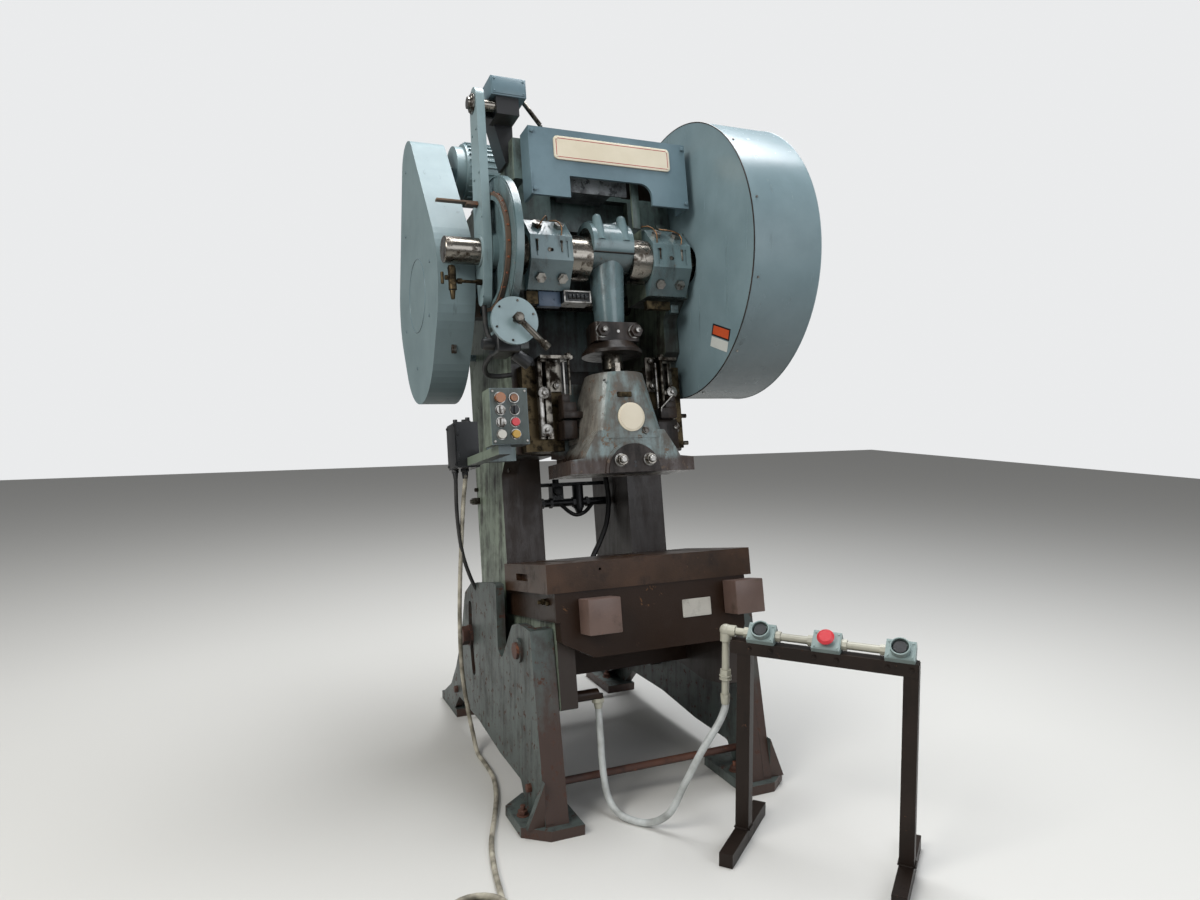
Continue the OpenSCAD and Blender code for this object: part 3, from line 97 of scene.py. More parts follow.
room = bpy.data.worlds.new("room")
bpy.context.scene.world = room
room.use_nodes = True
back = room.node_tree.nodes["Background"]
rays = room.node_tree.nodes.new("ShaderNodeLightPath")
seen = room.node_tree.nodes.new("ShaderNodeMath")
seen.operation = "MULTIPLY_ADD"
seen.inputs[1].default_value = 0.66
seen.inputs[2].default_value = 0.26
room.node_tree.links.new(rays.outputs["Is Camera Ray"], seen.inputs[0])
room.node_tree.links.new(seen.outputs[0], back.inputs["Strength"])
back.inputs["Color"].default_value = linear("#F3F4F5")


def turned(degrees, axis="X"):
    return Matrix.Rotation(math.radians(degrees), 4, axis)


def lamp(name, place, aim, size, watts, tint):
    """A square soft lamp at a place, turned to a point."""
    data = bpy.data.lights.new(name, "AREA")
    data.shape = "SQUARE"
    data.size = size
    data.energy = watts
    data.color = linear(tint)[:3]
    thing = bpy.data.objects.new(name, data)
    thing.location = place
    thing.rotation_euler = (Vector(aim) - Vector(place)).to_track_quat("-Z", "Y").to_euler()
    link(thing)


lamp("key_lamp", (-4.6, -2.6, 4.6), (0.0, -0.3, 1.5), 2.6, 215, "#FFFDF8")
lamp("fill_lamp", (1.6, -5.0, 3.2), (0.0, -0.3, 1.2), 3.0, 70, "#F4F8FF")
lamp("top_lamp", (0.9, 0.3, 5.6), (0.2, 0.0, 1.2), 3.0, 335, "#FAFCFF")


# Body casting: grey iron with shop enamel brushed over the sand-cast skin, painted paler on its left
# side as painted light, brown with oil on the fronts of the uprights and of the bed, with painted shade
# in that brown on the uprights' fronts and inner faces, and chipped at the bed.
def over(material, mask, ground, colour):
    """Lays a colour over a ground where the mask is full."""
    mixed = add(material, "ShaderNodeMix", {"data_type": "RGBA"}, {0: mask, 6: ground})
    mixed.inputs[7].default_value = linear(colour)
    return mixed.outputs[2]


def enamel(name, paint, shade, grime_and_underside_shade, rust, grime_share, rust_share, gloss, grain_mm, streak=0.5, oil=None,
           side=None, wave=0.0, sheen=0.5):
    """Enamel over metal: paint to shade in patches, dirt in streaks, painted shade on undersides, rust in chips.

    oil = (colour, height where it is full, height where it ends, share that all sides get);
    side = a paler colour painted on faces that look to -X, as painted light on the lit side.
    """
    coat = bpy.data.materials.new(name)
    coat.use_nodes = True
    tree = coat.node_tree
    shader = tree.nodes["Principled BSDF"]
    shader.inputs["Specular IOR Level"].default_value = sheen
    place = add(coat, "ShaderNodeTexCoord")
    where = place.outputs["Object"]
    patches = add(coat, "ShaderNodeTexNoise", {"Scale": 5.0, "Detail": 5.0, "Roughness": 0.6}, {"Vector": where})
    patch_tone = add(coat, "ShaderNodeMapRange", {1: 0.35, 2: 0.65}, {0: patches})
    base = add(coat, "ShaderNodeMix", {"data_type": "RGBA"}, {0: patch_tone})
    base.inputs[6].default_value = linear(shade)
    base.inputs[7].default_value = linear(paint)
    facing = add(coat, "ShaderNodeSeparateXYZ", {}, {0: place.outputs["Normal"]})
    ground = base.outputs[2]
    # Painted light: faces that look to -X are painted paler, as the lit side.
    if side:
        left = add(coat, "ShaderNodeMapRange", {1: -0.5, 2: -0.9, 3: 0.0, 4: 0.85}, {0: facing.outputs[0]})
        ground = over(coat, left, ground, side)
    runs_at = add(coat, "ShaderNodeMapping", {}, {"Vector": where})
    runs_at.inputs["Scale"].default_value = (26.0, 26.0, 2.4)
    runs = add(coat, "ShaderNodeTexNoise", {"Scale": 1.0, "Detail": 6.0, "Roughness": 0.65},
               {"Vector": runs_at.outputs[0]})
    blots = add(coat, "ShaderNodeTexNoise", {"Scale": 9.0, "Detail": 9.0, "Roughness": 0.68}, {"Vector": where})
    both = add(coat, "ShaderNodeMix", {0: streak}, {2: blots, 3: runs})
    grime_edge = 0.74 - 0.42*grime_share
    grime_mask = add(coat, "ShaderNodeMapRange", {1: grime_edge - 0.07, 2: grime_edge + 0.10}, {0: both})
    top_layer = over(coat, grime_mask, ground, grime_and_underside_shade)
    if oil:
        oil_colour, full_z, end_z, all_sides = oil
        axes = add(coat, "ShaderNodeSeparateXYZ", {}, {0: where})
        low = add(coat, "ShaderNodeMapRange", {1: full_z, 2: end_z, 3: 1.0, 4: 0.0}, {0: axes.outputs[2]})
        # Faces that look to -Y and faces between the uprights take the most of this brown: oil, with painted
        # shade on the uprights' fronts and inner faces.
        front = add(coat, "ShaderNodeMapRange", {1: -0.45, 2: -0.8, 3: all_sides, 4: 1.0}, {0: facing.outputs[1]})
        across = add(coat, "ShaderNodeMath", {"operation": "ABSOLUTE"}, {0: axes.outputs[0]})
        inside = add(coat, "ShaderNodeMapRange", {1: 0.325, 2: 0.310, 3: all_sides, 4: 0.95}, {0: across})
        sides = add(coat, "ShaderNodeMath", {"operation": "MAXIMUM"}, {0: front, 1: inside})
        share = add(coat, "ShaderNodeMath", {"operation": "MULTIPLY"}, {0: low, 1: sides})
        broken = add(coat, "ShaderNodeMath", {"operation": "ADD"}, {0: share, 1: both})
        oil_mask = add(coat, "ShaderNodeMapRange", {1: 0.72, 2: 1.02}, {0: broken})
        top_layer = over(coat, oil_mask, top_layer, oil_colour)
    # Painted shade: faces that look down are darkened towards the grime_and_underside_shade colour.
    underside_shade = add(coat, "ShaderNodeMapRange", {1: -0.12, 2: -0.80, 3: 0.0, 4: 0.80}, {0: facing.outputs[2]})
    top_layer = over(coat, underside_shade, top_layer, grime_and_underside_shade)
    chips = add(coat, "ShaderNodeTexNoise", {"Scale": 31.0, "Detail": 10.0, "Roughness": 0.72}, {"Vector": where})
    chip_edge = 0.72 - 0.34*rust_share
    chip_mask = add(coat, "ShaderNodeMapRange", {1: chip_edge, 2: chip_edge + 0.03}, {0: chips})
    tree.links.new(over(coat, chip_mask, top_layer, rust), shader.inputs["Base Color"])
    rough = add(coat, "ShaderNodeMapRange", {1: 0.0, 2: 1.0, 3: gloss, 4: 0.58}, {0: grime_mask})
    chip_rough = add(coat, "ShaderNodeMath", {"operation": "MULTIPLY", 1: 0.85}, {0: chip_mask})
    rougher = add(coat, "ShaderNodeMath", {"operation": "MAXIMUM"}, {0: rough, 1: chip_rough})
    tree.links.new(rougher.outputs[0], shader.inputs["Roughness"])
    skin = add(coat, "ShaderNodeTexNoise", {"Scale": 1000.0/grain_mm, "Detail": 4.0}, {"Vector": where})
    height = add(coat, "ShaderNodeMath", {"operation": "SUBTRACT"}, {0: skin, 1: chip_mask})
    relief = add(coat, "ShaderNodeBump", {"Strength": 0.30, "Distance": 0.0012}, {"Height": height})
    if wave:
        dents = add(coat, "ShaderNodeTexNoise", {"Scale": 3.2, "Detail": 1.0}, {"Vector": where})
        bowed = add(coat, "ShaderNodeBump", {"Strength": wave, "Distance": 0.03}, {"Height": dents})
        tree.links.new(bowed.outputs["Normal"], relief.inputs["Normal"])
    tree.links.new(relief.outputs["Normal"], shader.inputs["Normal"])
    return coat


def metal(name, bright, dull, stain, polish, brush=(6.0, 260.0, 260.0), stain_share=0.4):
    """Bare metal: turned or ground marks along one direction, with oil and rust stain in patches."""
    face = bpy.data.materials.new(name)
    face.use_nodes = True
    shader = face.node_tree.nodes["Principled BSDF"]
    shader.inputs["Metallic"].default_value = 1.0
    where = add(face, "ShaderNodeTexCoord").outputs["Object"]
    marks_at = add(face, "ShaderNodeMapping", {}, {"Vector": where})
    marks_at.inputs["Scale"].default_value = brush
    marks = add(face, "ShaderNodeTexNoise", {"Scale": 1.0, "Detail": 3.0}, {"Vector": marks_at})
    patches = add(face, "ShaderNodeTexNoise", {"Scale": 24.0, "Detail": 8.0, "Roughness": 0.65},
                  {"Vector": where})
    tone = add(face, "ShaderNodeMix", {"data_type": "RGBA"}, {0: marks})
    tone.inputs[6].default_value = linear(dull)
    tone.inputs[7].default_value = linear(bright)
    edge = 0.72 - 0.36*stain_share
    mask = add(face, "ShaderNodeMapRange", {1: edge - 0.04, 2: edge + 0.08}, {0: patches})
    face.node_tree.links.new(over(face, mask, tone.outputs[2], stain), shader.inputs["Base Color"])
    rough = add(face, "ShaderNodeMapRange", {3: polish, 4: 0.6}, {0: mask})
    face.node_tree.links.new(rough.outputs[0], shader.inputs["Roughness"])
    relief = add(face, "ShaderNodeBump", {"Strength": 0.2, "Distance": 0.0006}, {"Height": marks})
    face.node_tree.links.new(relief.outputs["Normal"], shader.inputs["Normal"])
    return face


def finish_node(material, *names):
    """Gives CAD nodes their material, and returns it."""
    for name in names:
        mesh = solids[name].data
        mesh.materials.clear()
        mesh.materials.append(material)
    return material


body_enamel = finish_node(
    enamel("body_casting_enamel", "#5E6F6D", "#465551", "#211E1B", "#3B2A22", 0.52, 0.22, 0.36, 9,
           oil=("#2A201A", 1.00, 2.10, 0.18), side="#7C8776"), "frame")
finish_node(
    enamel("bed_casting_dried_oil", "#5E6F6D", "#465551", "#1C1815", "#5A402C", 0.42, 0.24, 0.34, 6, 0.35,
           oil=("#291C14", 1.00, 1.60, 0.85), sheen=0.22), "cross_members")
finish_node(
    enamel("ram_enamel_worn_through", "#7A8E90", "#5E6E6C", "#54504A", "#66584C", 0.62, 0.40, 0.22, 9,
           oil=("#34261E", 1.20, 1.29, 0.9), side="#8A837A"), "ram")
finish_node(
    enamel("panel_box_enamel", "#5E6C6E", "#4E5B5D", "#2A2826", "#4A3A30", 0.36, 0.08, 0.40, 14,
           side="#75806F"), "control_panel")

# Legs: the same iron and enamel, smooth grey-green on the side plates, and rusted through on
# the sloping front flanges and on the feet, where oil, chips and boots reach.
finish_node(
    enamel("leg_casting_enamel", "#525C59", "#404846", "#282522", "#4A332A", 0.46, 0.42, 0.42, 10,
           oil=("#3E2D26", -0.1, 0.85, 0.20)), "left_leg", "right_leg")
bolt_rust = finish_node(
    enamel("bolt_head_rusted", "#5C3B2E", "#46302A", "#241B18", "#7A4A34", 0.35, 0.35, 0.6, 4),
    "leg_ties", "clamp_bolts")

# Bed: the bolster plate is brown with dried oil, with paler worn chips in patches.
finish_node(
    enamel("bolster_iron_dried_oil", "#443023", "#322318", "#1E1510", "#745740", 0.36, 0.20, 0.30, 5,
           0.2, sheen=0.28), "bolster", "bolster_bolts")

# Guards: rolled sheet steel in grey-green enamel, hardly worn, slightly bowed between its seams.
guard_enamel = finish_node(
    enamel("guard_sheet_enamel", "#7A8E94", "#6F8389", "#3A4345", "#4A4038", 0.12, 0.10, 0.27, 60, 0.85,
           wave=0.10), "gear_guard")
finish_node(
    enamel("belt_guard_enamel", "#7E9094", "#74868A", "#4A5556", "#4A4038", 0.14, 0.10, 0.50, 60, 0.85,
           wave=0.10, sheen=0.25), "belt_guard")
case_enamel = finish_node(
    enamel("chain_case_enamel", "#869A9E", "#768A8E", "#4E5A5A", "#4A4038", 0.22, 0.12, 0.32, 30, 0.7),
    "chain_case", "air_valve", "motor")
box_enamel = finish_node(
    enamel("button_box_enamel", "#8B9C9A", "#7C8D8B", "#4C5350", "#5A4A40", 0.16, 0.06, 0.45, 8),
    "button_boxes")
cover_enamel = finish_node(
    enamel("crown_cover_enamel", "#667C85", "#596E77", "#414E53", "#3F3A36", 0.14, 0.10, 0.32, 16),
    "crown_cover")

# Drive castings: pitman, bearing caps and brake drum, thick glossy enamel over a smooth skin.
drive_enamel = finish_node(
    enamel("drive_casting_enamel", "#6C8084", "#586C6F", "#282A28", "#5A4634", 0.38, 0.22, 0.22, 14),
    "pitman", "bearing_caps", "brake_drum", "pitman_bolts")
band_steel = finish_node(
    enamel("brake_band_rusty_lining", "#6E5A48", "#57463A", "#38302A", "#A05A34", 0.30, 0.30, 0.6, 6),
    "brake_band")
oily_iron = finish_node(
    enamel("oily_black_iron", "#342A24", "#241D18", "#14110F", "#4A362A", 0.50, 0.22, 0.30, 6, sheen=0.28),
    "clamp_collar", "ram_clamp", "bull_gear", "flywheel", "motor_sheave")
stand_steel = finish_node(
    enamel("stand_tube_bare_steel", "#281F1A", "#1F1814", "#171310", "#563C2C", 0.34, 0.24, 0.42, 5,
           sheen=0.2), "stand")

# Bare metal: ground journals, turned screw, bolts, gibs and bushes.
ground_steel = finish_node(
    metal("ground_journal_steel", "#938E86", "#635E56", "#3E342B", 0.22, (3.0, 240.0, 240.0), 0.42),
    "crankshaft", "cam_shaft", "pinion_shaft", "ram_bolts")
bolt_steel = finish_node(
    metal("bolt_steel_plain", "#A9A7A2", "#7C7974", "#3E352E", 0.32, (90.0, 90.0, 90.0), 0.5),
    "cap_bolts", "upper_selector", "lower_selector", "stroke_counter")
dark_steel = finish_node(
    metal("slide_bar_steel_oiled", "#7E7A72", "#58544D", "#2C2620", 0.30, (60.0, 60.0, 8.0), 0.66),
    "gib_straps", "valve_handle", "adjusting_screw")
tank_steel = finish_node(
    enamel("tank_plate_mottled", "#8E9294", "#6E7274", "#242526", "#3A3C3E", 0.62, 0.50, 0.34, 5, 0.0),
    "oil_tank")
dull_bronze = finish_node(
    metal("dull_bearing_bronze", "#5C503C", "#423A2C", "#26211A", 0.50, (30.0, 30.0, 12.0), 0.55),
    "bearing_bushes", "gibs", "oiler")

# Moulded parts: black fittings, coloured buttons, amber lamps and zinc-coated pipe.
black_plastic = finish_node(
    enamel("black_moulded_plastic", "#1E2023", "#17181A", "#2B2823", "#2B2823", 0.2, 0.0, 0.40, 2),
    "key_switch", "power_box", "air_unit", "left_palm_button", "right_palm_button", "power_plug",
    "v_belts", "limit_switch")
galvanised_pipe = finish_node(
    enamel("galvanised_pipe_zinc", "#B4B2A2", "#9A988B", "#6F6A5C", "#7A5F48", 0.25, 0.08, 0.40, 5),
    "stand_conduit")
for name, paint, shade, grime_and_underside_shade, nodes in (
        ("red_moulded_plastic", "#C4343C", "#B22E36", "#8A2A2C", ("stop_button", "red_button")),
        ("yellow_moulded_plastic", "#BE983A", "#A27E2C", "#7A6030", ("yellow_button",)),
        ("white_moulded_plastic", "#C2C0B8", "#AEACA4", "#8A867A", ("white_button",))):
    finish_node(enamel(name, paint, shade, grime_and_underside_shade, grime_and_underside_shade, 0.1, 0.0, 0.35, 2), *nodes)
finish_node(
    enamel("amber_lamp_lens", "#8E5628", "#6E421F", "#3E2A18", "#3E2A18", 0.3, 0.0, 0.15, 2), "panel_lamps")

# Flexible conduit: grey plastic jacket over a steel spiral, from an elbow under the bed down
# to the floor and up to the pipe of the operator stand.
MM = Matrix.Scale(0.001, 4)
BODY = (Matrix.Translation((0, -0.445, 0.570)) @ turned(-10)
        @ Matrix.Translation((0, 0.445, -0.570)) @ MM)
STAND = Matrix.Translation((0.150, -0.985, 0.0)) @ turned(-50, "Z") @ MM


def leaned(x, y, z):
    """A place on the upright press body, in millimetres, where it lies on the leaned body, in metres."""
    return BODY @ Vector((x, y, z))


def smooth_route(places, steps):
    """Points along one smooth curve through the chosen places."""
    places = [Vector(p) for p in places]
    last = len(places) - 1
    route = []
    for i in range(last):
        a, b = places[max(i - 1, 0)], places[i]
        c, d = places[i + 1], places[min(i + 2, last)]
        for k in range(steps):
            t = k/steps
            route.append(0.5*(2*b + (c - a)*t + (2*a - 5*b + 4*c - d)*t*t + (3*b - a - 3*c + d)*t**3))
    return route + [places[last]]


def tube(name, route, radius, sides, material, body="press body"):
    """A round tube along a route in metres, as a mesh that rides on a body."""
    line = bpy.data.curves.new(name, "CURVE")
    line.dimensions = "3D"
    line.bevel_depth = radius
    line.bevel_resolution = max(0, (sides - 4)//4)
    line.use_fill_caps = True
    spline = line.splines.new("POLY")
    spline.points.add(len(route) - 1)
    for point, place in zip(spline.points, route):
        point.co = (*place, 1.0)
    holder = bpy.data.objects.new(name + "_line", line)
    link(holder)
    bpy.context.view_layer.update()
    mesh = bpy.data.meshes.new_from_object(holder.evaluated_get(bpy.context.evaluated_depsgraph_get()))
    bpy.data.objects.remove(holder)
    mesh.name = name
    mesh.shade_smooth()
    mesh.materials.clear()
    mesh.materials.append(material)
    piece = bpy.data.objects.new(name, mesh)
    link(piece)
    if body:
        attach(piece, body)
    return piece


def dusty(name, dark, pale, scale, rough):
    """A soft jacket whose dust lies in cloudy patches."""
    jacket = bpy.data.materials.new(name)
    jacket.use_nodes = True
    shader = jacket.node_tree.nodes["Principled BSDF"]
    where = add(jacket, "ShaderNodeTexCoord").outputs["Object"]
    smudge = add(jacket, "ShaderNodeTexNoise", {"Scale": scale, "Detail": 7.0}, {"Vector": where})
    tone = add(jacket, "ShaderNodeValToRGB", {}, {"Fac": smudge})
    tone.color_ramp.elements[0].color = linear(dark)
    tone.color_ramp.elements[0].position = 0.34
    tone.color_ramp.elements[1].color = linear(pale)
    tone.color_ramp.elements[1].position = 0.61
    jacket.node_tree.links.new(tone.outputs["Color"], shader.inputs["Base Color"])
    shader.inputs["Roughness"].default_value = rough
    return jacket


flex_start = leaned(-197, -526, 367.5)
flex_end = STAND @ Vector((-70, 4, 469.5))
flex_places = [flex_start, leaned(-197, -526, 355), leaned(-197, -526, 332), (-0.203, -0.600, 0.240),
               (-0.203, -0.618, 0.150), (-0.195, -0.650, 0.060), (-0.170, -0.710, 0.018), (-0.110, -0.790, 0.018),
               (-0.060, -0.850, 0.070), (-0.025, -0.890, 0.180), (0.020, -0.925, 0.300),
               (flex_end.x - 0.022, flex_end.y + 0.002, 0.390), flex_end - Vector((0, 0, 0.030)),
               flex_end - Vector((0, 0, 0.010)), flex_end]
flex_route = smooth_route(flex_places, 8)
conduit_jacket = dusty("conduit_jacket_vinyl", "#8F918E", "#BFC3C2", 14.0, 0.45)
flex_piece = tube("flexible_conduit", flex_route, 0.0125, 20, conduit_jacket, None)
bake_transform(flex_piece)
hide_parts("flex_conduit")

# Power cable: thick rubber cord from the junction box, down beside the left leg and forward
# along the floor into a coil of three turns, whose end curves out to a round plug.
cable_start = leaned(-524, -90, 1261.5)
cable_end = Vector((-0.720, -1.120, 0.010))
cable_places = [cable_start, leaned(-524, -90, 1248), leaned(-524, -90, 1220), (-0.524, 0.050, 1.060),
                (-0.524, 0.090, 0.880),
                (-0.524, 0.120, 0.700), (-0.524, 0.130, 0.520), (-0.518, 0.130, 0.340),
                (-0.500, 0.115, 0.180), (-0.486, 0.080, 0.070), (-0.484, 0.020, 0.012),
                (-0.484, -0.080, 0.010), (-0.490, -0.220, 0.010), (-0.524, -0.370, 0.010),
                (-0.580, -0.530, 0.010), (-0.636, -0.680, 0.010), (-0.672, -0.830, 0.010),
                (-0.698, -0.990, 0.010), cable_end]
coil_middle = Vector((-0.810, -1.120, 0.0))
cable_route = smooth_route(cable_places, 4)
for i in range(1, 73):
    angle = math.radians(15*i)
    cable_route.append(coil_middle + Vector((0.090*math.cos(angle), -0.090*math.sin(angle), 0.010 + 0.018*i/24)))
for angle, z in ((0, 0.064), (20, 0.060), (40, 0.046), (60, 0.030), (80, 0.022)):
    turn = math.radians(angle)
    cable_route.append(Vector((-0.795 + 0.075*math.cos(turn), -1.165 - 0.075*math.sin(turn), z)))
cable_rubber = dusty("cable_rubber_dusty", "#6F6A5E", "#B4AE9E", 22.0, 0.75)
cable_piece = tube("power_cable_jacket", cable_route, 0.009, 12, cable_rubber, None)
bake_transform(cable_piece)
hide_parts("power_cable", "power_coil")


def new_piece(name, shape, materials, body="press body", place=BODY, smooth=30):
    """Makes an object of a shape drawn in millimetres, puts it in its place, and rides it on a body."""
    shape.transform(place)
    bmesh.ops.recalc_face_normals(shape, faces=shape.faces)
    mesh = bpy.data.meshes.new(name)
    shape.to_mesh(mesh)
    shape.free()
    for material in materials if isinstance(materials, list) else [materials]:
        mesh.materials.append(material)
    mesh.shade_smooth()
    mesh.set_sharp_from_angle(angle=math.radians(smooth))
    piece = bpy.data.objects.new(name, mesh)
    link(piece)
    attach(piece, body)
    return piece


def soften(shape, edges, offset, segments):
    bmesh.ops.bevel(shape, geom=edges, offset=offset, segments=segments, profile=0.5, affect="EDGES",
                    material=-1)


def add_box(shape, low, high):
    """A sharp box between two corners. Returns its vertices."""
    made = bmesh.ops.create_cube(shape, size=1.0)["verts"]
    for v in made:
        v.co = Vector([(a + b)/2 + c*(b - a) for a, b, c in zip(Vector(low), Vector(high), v.co)])
    return made


def edges_of(verts):
    return list({e for v in verts for e in v.link_edges})


def block(shape, low, high, rounding=0, segments=2):
    """A box between two corners with its edges rounded."""
    made = add_box(shape, low, high)
    if rounding:
        soften(shape, edges_of(made), rounding, segments)


def rod(shape, start, end, radius, end_radius=None, sides=28, rounding=0):
    """A round or many-sided bar between two points; its end edges may be rounded."""
    start, end = Vector(start), Vector(end)
    run = end - start
    turn = run.to_track_quat("Z", "Y").to_matrix().to_4x4()
    made = bmesh.ops.create_cone(shape, cap_ends=True, segments=sides, radius1=radius,
                                 radius2=radius if end_radius is None else end_radius, depth=run.length,
                                 matrix=Matrix.Translation((start + end)/2) @ turn)["verts"]
    if rounding:
        rims = [e for e in {e for v in made for e in v.link_edges}
                if any(len(f.verts) == sides for f in e.link_faces)]
        soften(shape, rims, rounding, 2)


def add_plate(shape, low, high, corner, edge):
    """A plate that faces -Y, with round corners and a softened front rim. Returns its front face."""
    upright = [e for e in {e for v in add_box(shape, low, high) for e in v.link_edges}
               if abs(e.verts[0].co.y - e.verts[1].co.y) > 1e-6]
    soften(shape, upright, corner, 5)
    shape.faces.ensure_lookup_table()
    front = min((f for f in shape.faces if len(f.verts) > 8), key=lambda f: f.calc_center_median().y)
    soften(shape, list(front.edges), edge, 2)
    return min((f for f in shape.faces if len(f.verts) > 8), key=lambda f: f.calc_center_median().y)


def around(middle, radius, count, first):
    """Places on a circle round a middle, in the two directions that the middle is given in."""
    turns = [math.radians(first + 360*k/count) for k in range(count)]
    return [(middle[0] + radius*math.cos(a), middle[1] + radius*math.sin(a)) for a in turns]


def add_bead(shape, x, centre, radius, thickness, sides, steps):
    """A round bead that runs once round an axis along X."""
    y, z = centre
    bmesh.ops.create_circle(shape, cap_ends=False, segments=sides, radius=thickness,
                            matrix=Matrix.Translation((x, y + radius, z)))
    bmesh.ops.spin(shape, geom=shape.verts[:] + shape.edges[:], cent=(x, y, z), axis=(1, 0, 0),
                   dvec=(0, 0, 0), angle=math.radians(360), steps=steps, use_merge=True)


def add_screw(shape, place, radius, height):
    """A slotted cheese-head screw that points to -Y: a rounded head cut by a slot."""
    x, y, z = place
    rod(shape, (x, y, z), (x, y - height, z), radius, sides=20, rounding=radius*0.18)
    block(shape, (x - radius*0.85, y - height - 0.4, z - radius*0.12),
          (x + radius*0.85, y - height + 0.2, z + radius*0.12))


def add_hex(shape, start, end, across):
    """A hexagon head or nut between two points, with a washer face under it."""
    start, end = Vector(start), Vector(end)
    step = (end - start).normalized()
    rod(shape, start, start + step*1.6, across*0.56)
    rod(shape, start + step*1.6, end, across*0.577, sides=6, rounding=across*0.03)
    rod(shape, end - step, end + step*1.2, across*0.44, across*0.36, sides=24)


part = bmesh.new()
rod(part, (-782, -1239, 22), (-832, -1239, 22), 15, 21, 32, 1.5)
rod(part, (-832, -1239, 22), (-838, -1239, 22), 22, sides=32, rounding=1.5)
rod(part, (-760, -1240, 22), (-783, -1239, 22), 10.2, 15)
for y, z in around((-1239, 22), 11, 4, 45):
    rod(part, (-837, y, z), (-846, y, z), 2.6, sides=14)
plug_piece = new_piece("power_plug_body", part, black_plastic, "base", MM)
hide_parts("power_plug")
part = bmesh.new()
add_hex(part, (-524, -90, 1262), (-524, -90, 1250), 30)
rod(part, (-524, -90, 1250), (-524, -90, 1222), 13, 10, 28, 1)
for k in range(5):
    rod(part, (-524, -90, 1246 - 5*k), (-524, -90, 1243.6 - 5*k), 13.4 - 0.5*k)
new_piece("power_cable_gland", part, black_plastic)

# Second cable: black rubber, from the junction box down to a grommet in the left wall.
black_rubber = dusty("black_rubber_hose", "#17181A", "#2E2D2B", 18.0, 0.5)
link_places = [leaned(-556, -60, 1261.5), leaned(-556, -60, 1215), leaned(-548, -20, 1080), leaned(-520, 40, 930),
               leaned(-470, 90, 800), leaned(-420, 120, 730), leaned(-369, 128, 712)]
link_route = smooth_route(link_places, 6)
link_piece = tube("black_link_cable", link_route, 0.008, 12, black_rubber)
part = bmesh.new()
add_hex(part, (-556, -60, 1262), (-556, -60, 1248), 26)
rod(part, (-556, -60, 1248), (-556, -60, 1224), 11.5, 8.6, 24, 0.8)
rod(part, (-368, 128, 712), (-384, 125, 718), 15, 12, 24, 1)
new_piece("link_cable_fittings", part, black_plastic)

# Junction box: a lid on its left side with four screws, two hinges and conduit nipples on top.
part = bmesh.new()
block(part, (-575, -154, 1268), (-570, -26, 1438), 1.5)
for y in (-146, -34):
    for z in (1276, 1430):
        rod(part, (-575, y, z), (-578, y, z), 4.5, sides=18, rounding=0.8)
block(part, (-572, -164, 1390), (-560, -158, 1425), 1)
block(part, (-572, -164, 1290), (-560, -158, 1325), 1)
for x, y in ((-545, -60), (-510, -60), (-510, -120)):
    rod(part, (x, y, 1444), (x, y, 1452), 13, sides=6)
    rod(part, (x, y, 1450), (x, y, 1466), 9, sides=24, rounding=1)
new_piece("junction_box_lid", part, black_plastic)

# Crown cover: a raised blank nameplate in cream enamel with a red line, held by four screws,
# the cap screws of the cover, the front plate of the lubricant tank, the stay and the plate that
# show behind the cover's opening, the rib below the back web, and the bar to lift the crown by.
cream_enamel = enamel("nameplate_cream_enamel", "#D9D0BC", "#CFC5AF", "#8B8474", "#6A5A4C", 0.12, 0.08, 0.34, 20)
red_line = enamel("nameplate_red_enamel", "#A8383C", "#963238", "#5A2A2A", "#5A2A2A", 0.1, 0.05, 0.35, 12)
part = bmesh.new()
face = add_plate(part, (-236, -563, 2386), (260, -557, 2479), 16, 1.5)
bmesh.ops.inset_region(part, faces=[face], thickness=7, depth=0.0)
face = min((f for f in part.faces if len(f.verts) > 8), key=lambda f: f.calc_center_median().y)
ring = bmesh.ops.inset_region(part, faces=[face], thickness=3, depth=0.0)["faces"]
for f in ring:
    f.material_index = 1
for x in (-224, 248):
    for z in (2398, 2467):
        rod(part, (x, -562, z), (x, -565, z), 3.6, sides=16, rounding=0.7)
new_piece("crown_nameplate", part, [cream_enamel, red_line])
part = bmesh.new()
for x in (-322, 322):
    for z in (2262, 2488):
        add_hex(part, (x, -557, z), (x, -565, z), 15)
block(part, (-335, -562, 2242), (-331, -556.9, 2330), 1)
new_piece("crown_cover_screws", part, cover_enamel)
part = bmesh.new()
add_plate(part, (-146, -477, 2298), (100, -471, 2388), 4, 1.0)
new_piece("oil_tank_front_plate", part, tank_steel)
for name, low, high, rounding, finish, slot in (
        ("crown_inner_stay", (116, -484, 2170), (150, -474, 2384), 2, body_enamel, "cast_green"),
        ("crown_inner_plate", (96, -440, 2310), (262, -432, 2440), 2, oily_iron, "oily_cast"),
        ("back_web_rib", (-302, 110, 1622), (302, 162, 1706), 8, body_enamel, "cast_green")):
    part = bmesh.new()
    block(part, low, high, rounding)
    new_piece(name, part, finish)
part = bmesh.new()
block(part, (297, -330, 2420), (311, -300, 2448), 2)
block(part, (371, -330, 2420), (385, -300, 2448), 2)
rod(part, (300, -315, 2440), (382, -315, 2440), 8, sides=24, rounding=1)
new_piece("crown_lifting_bar", part, black_plastic)

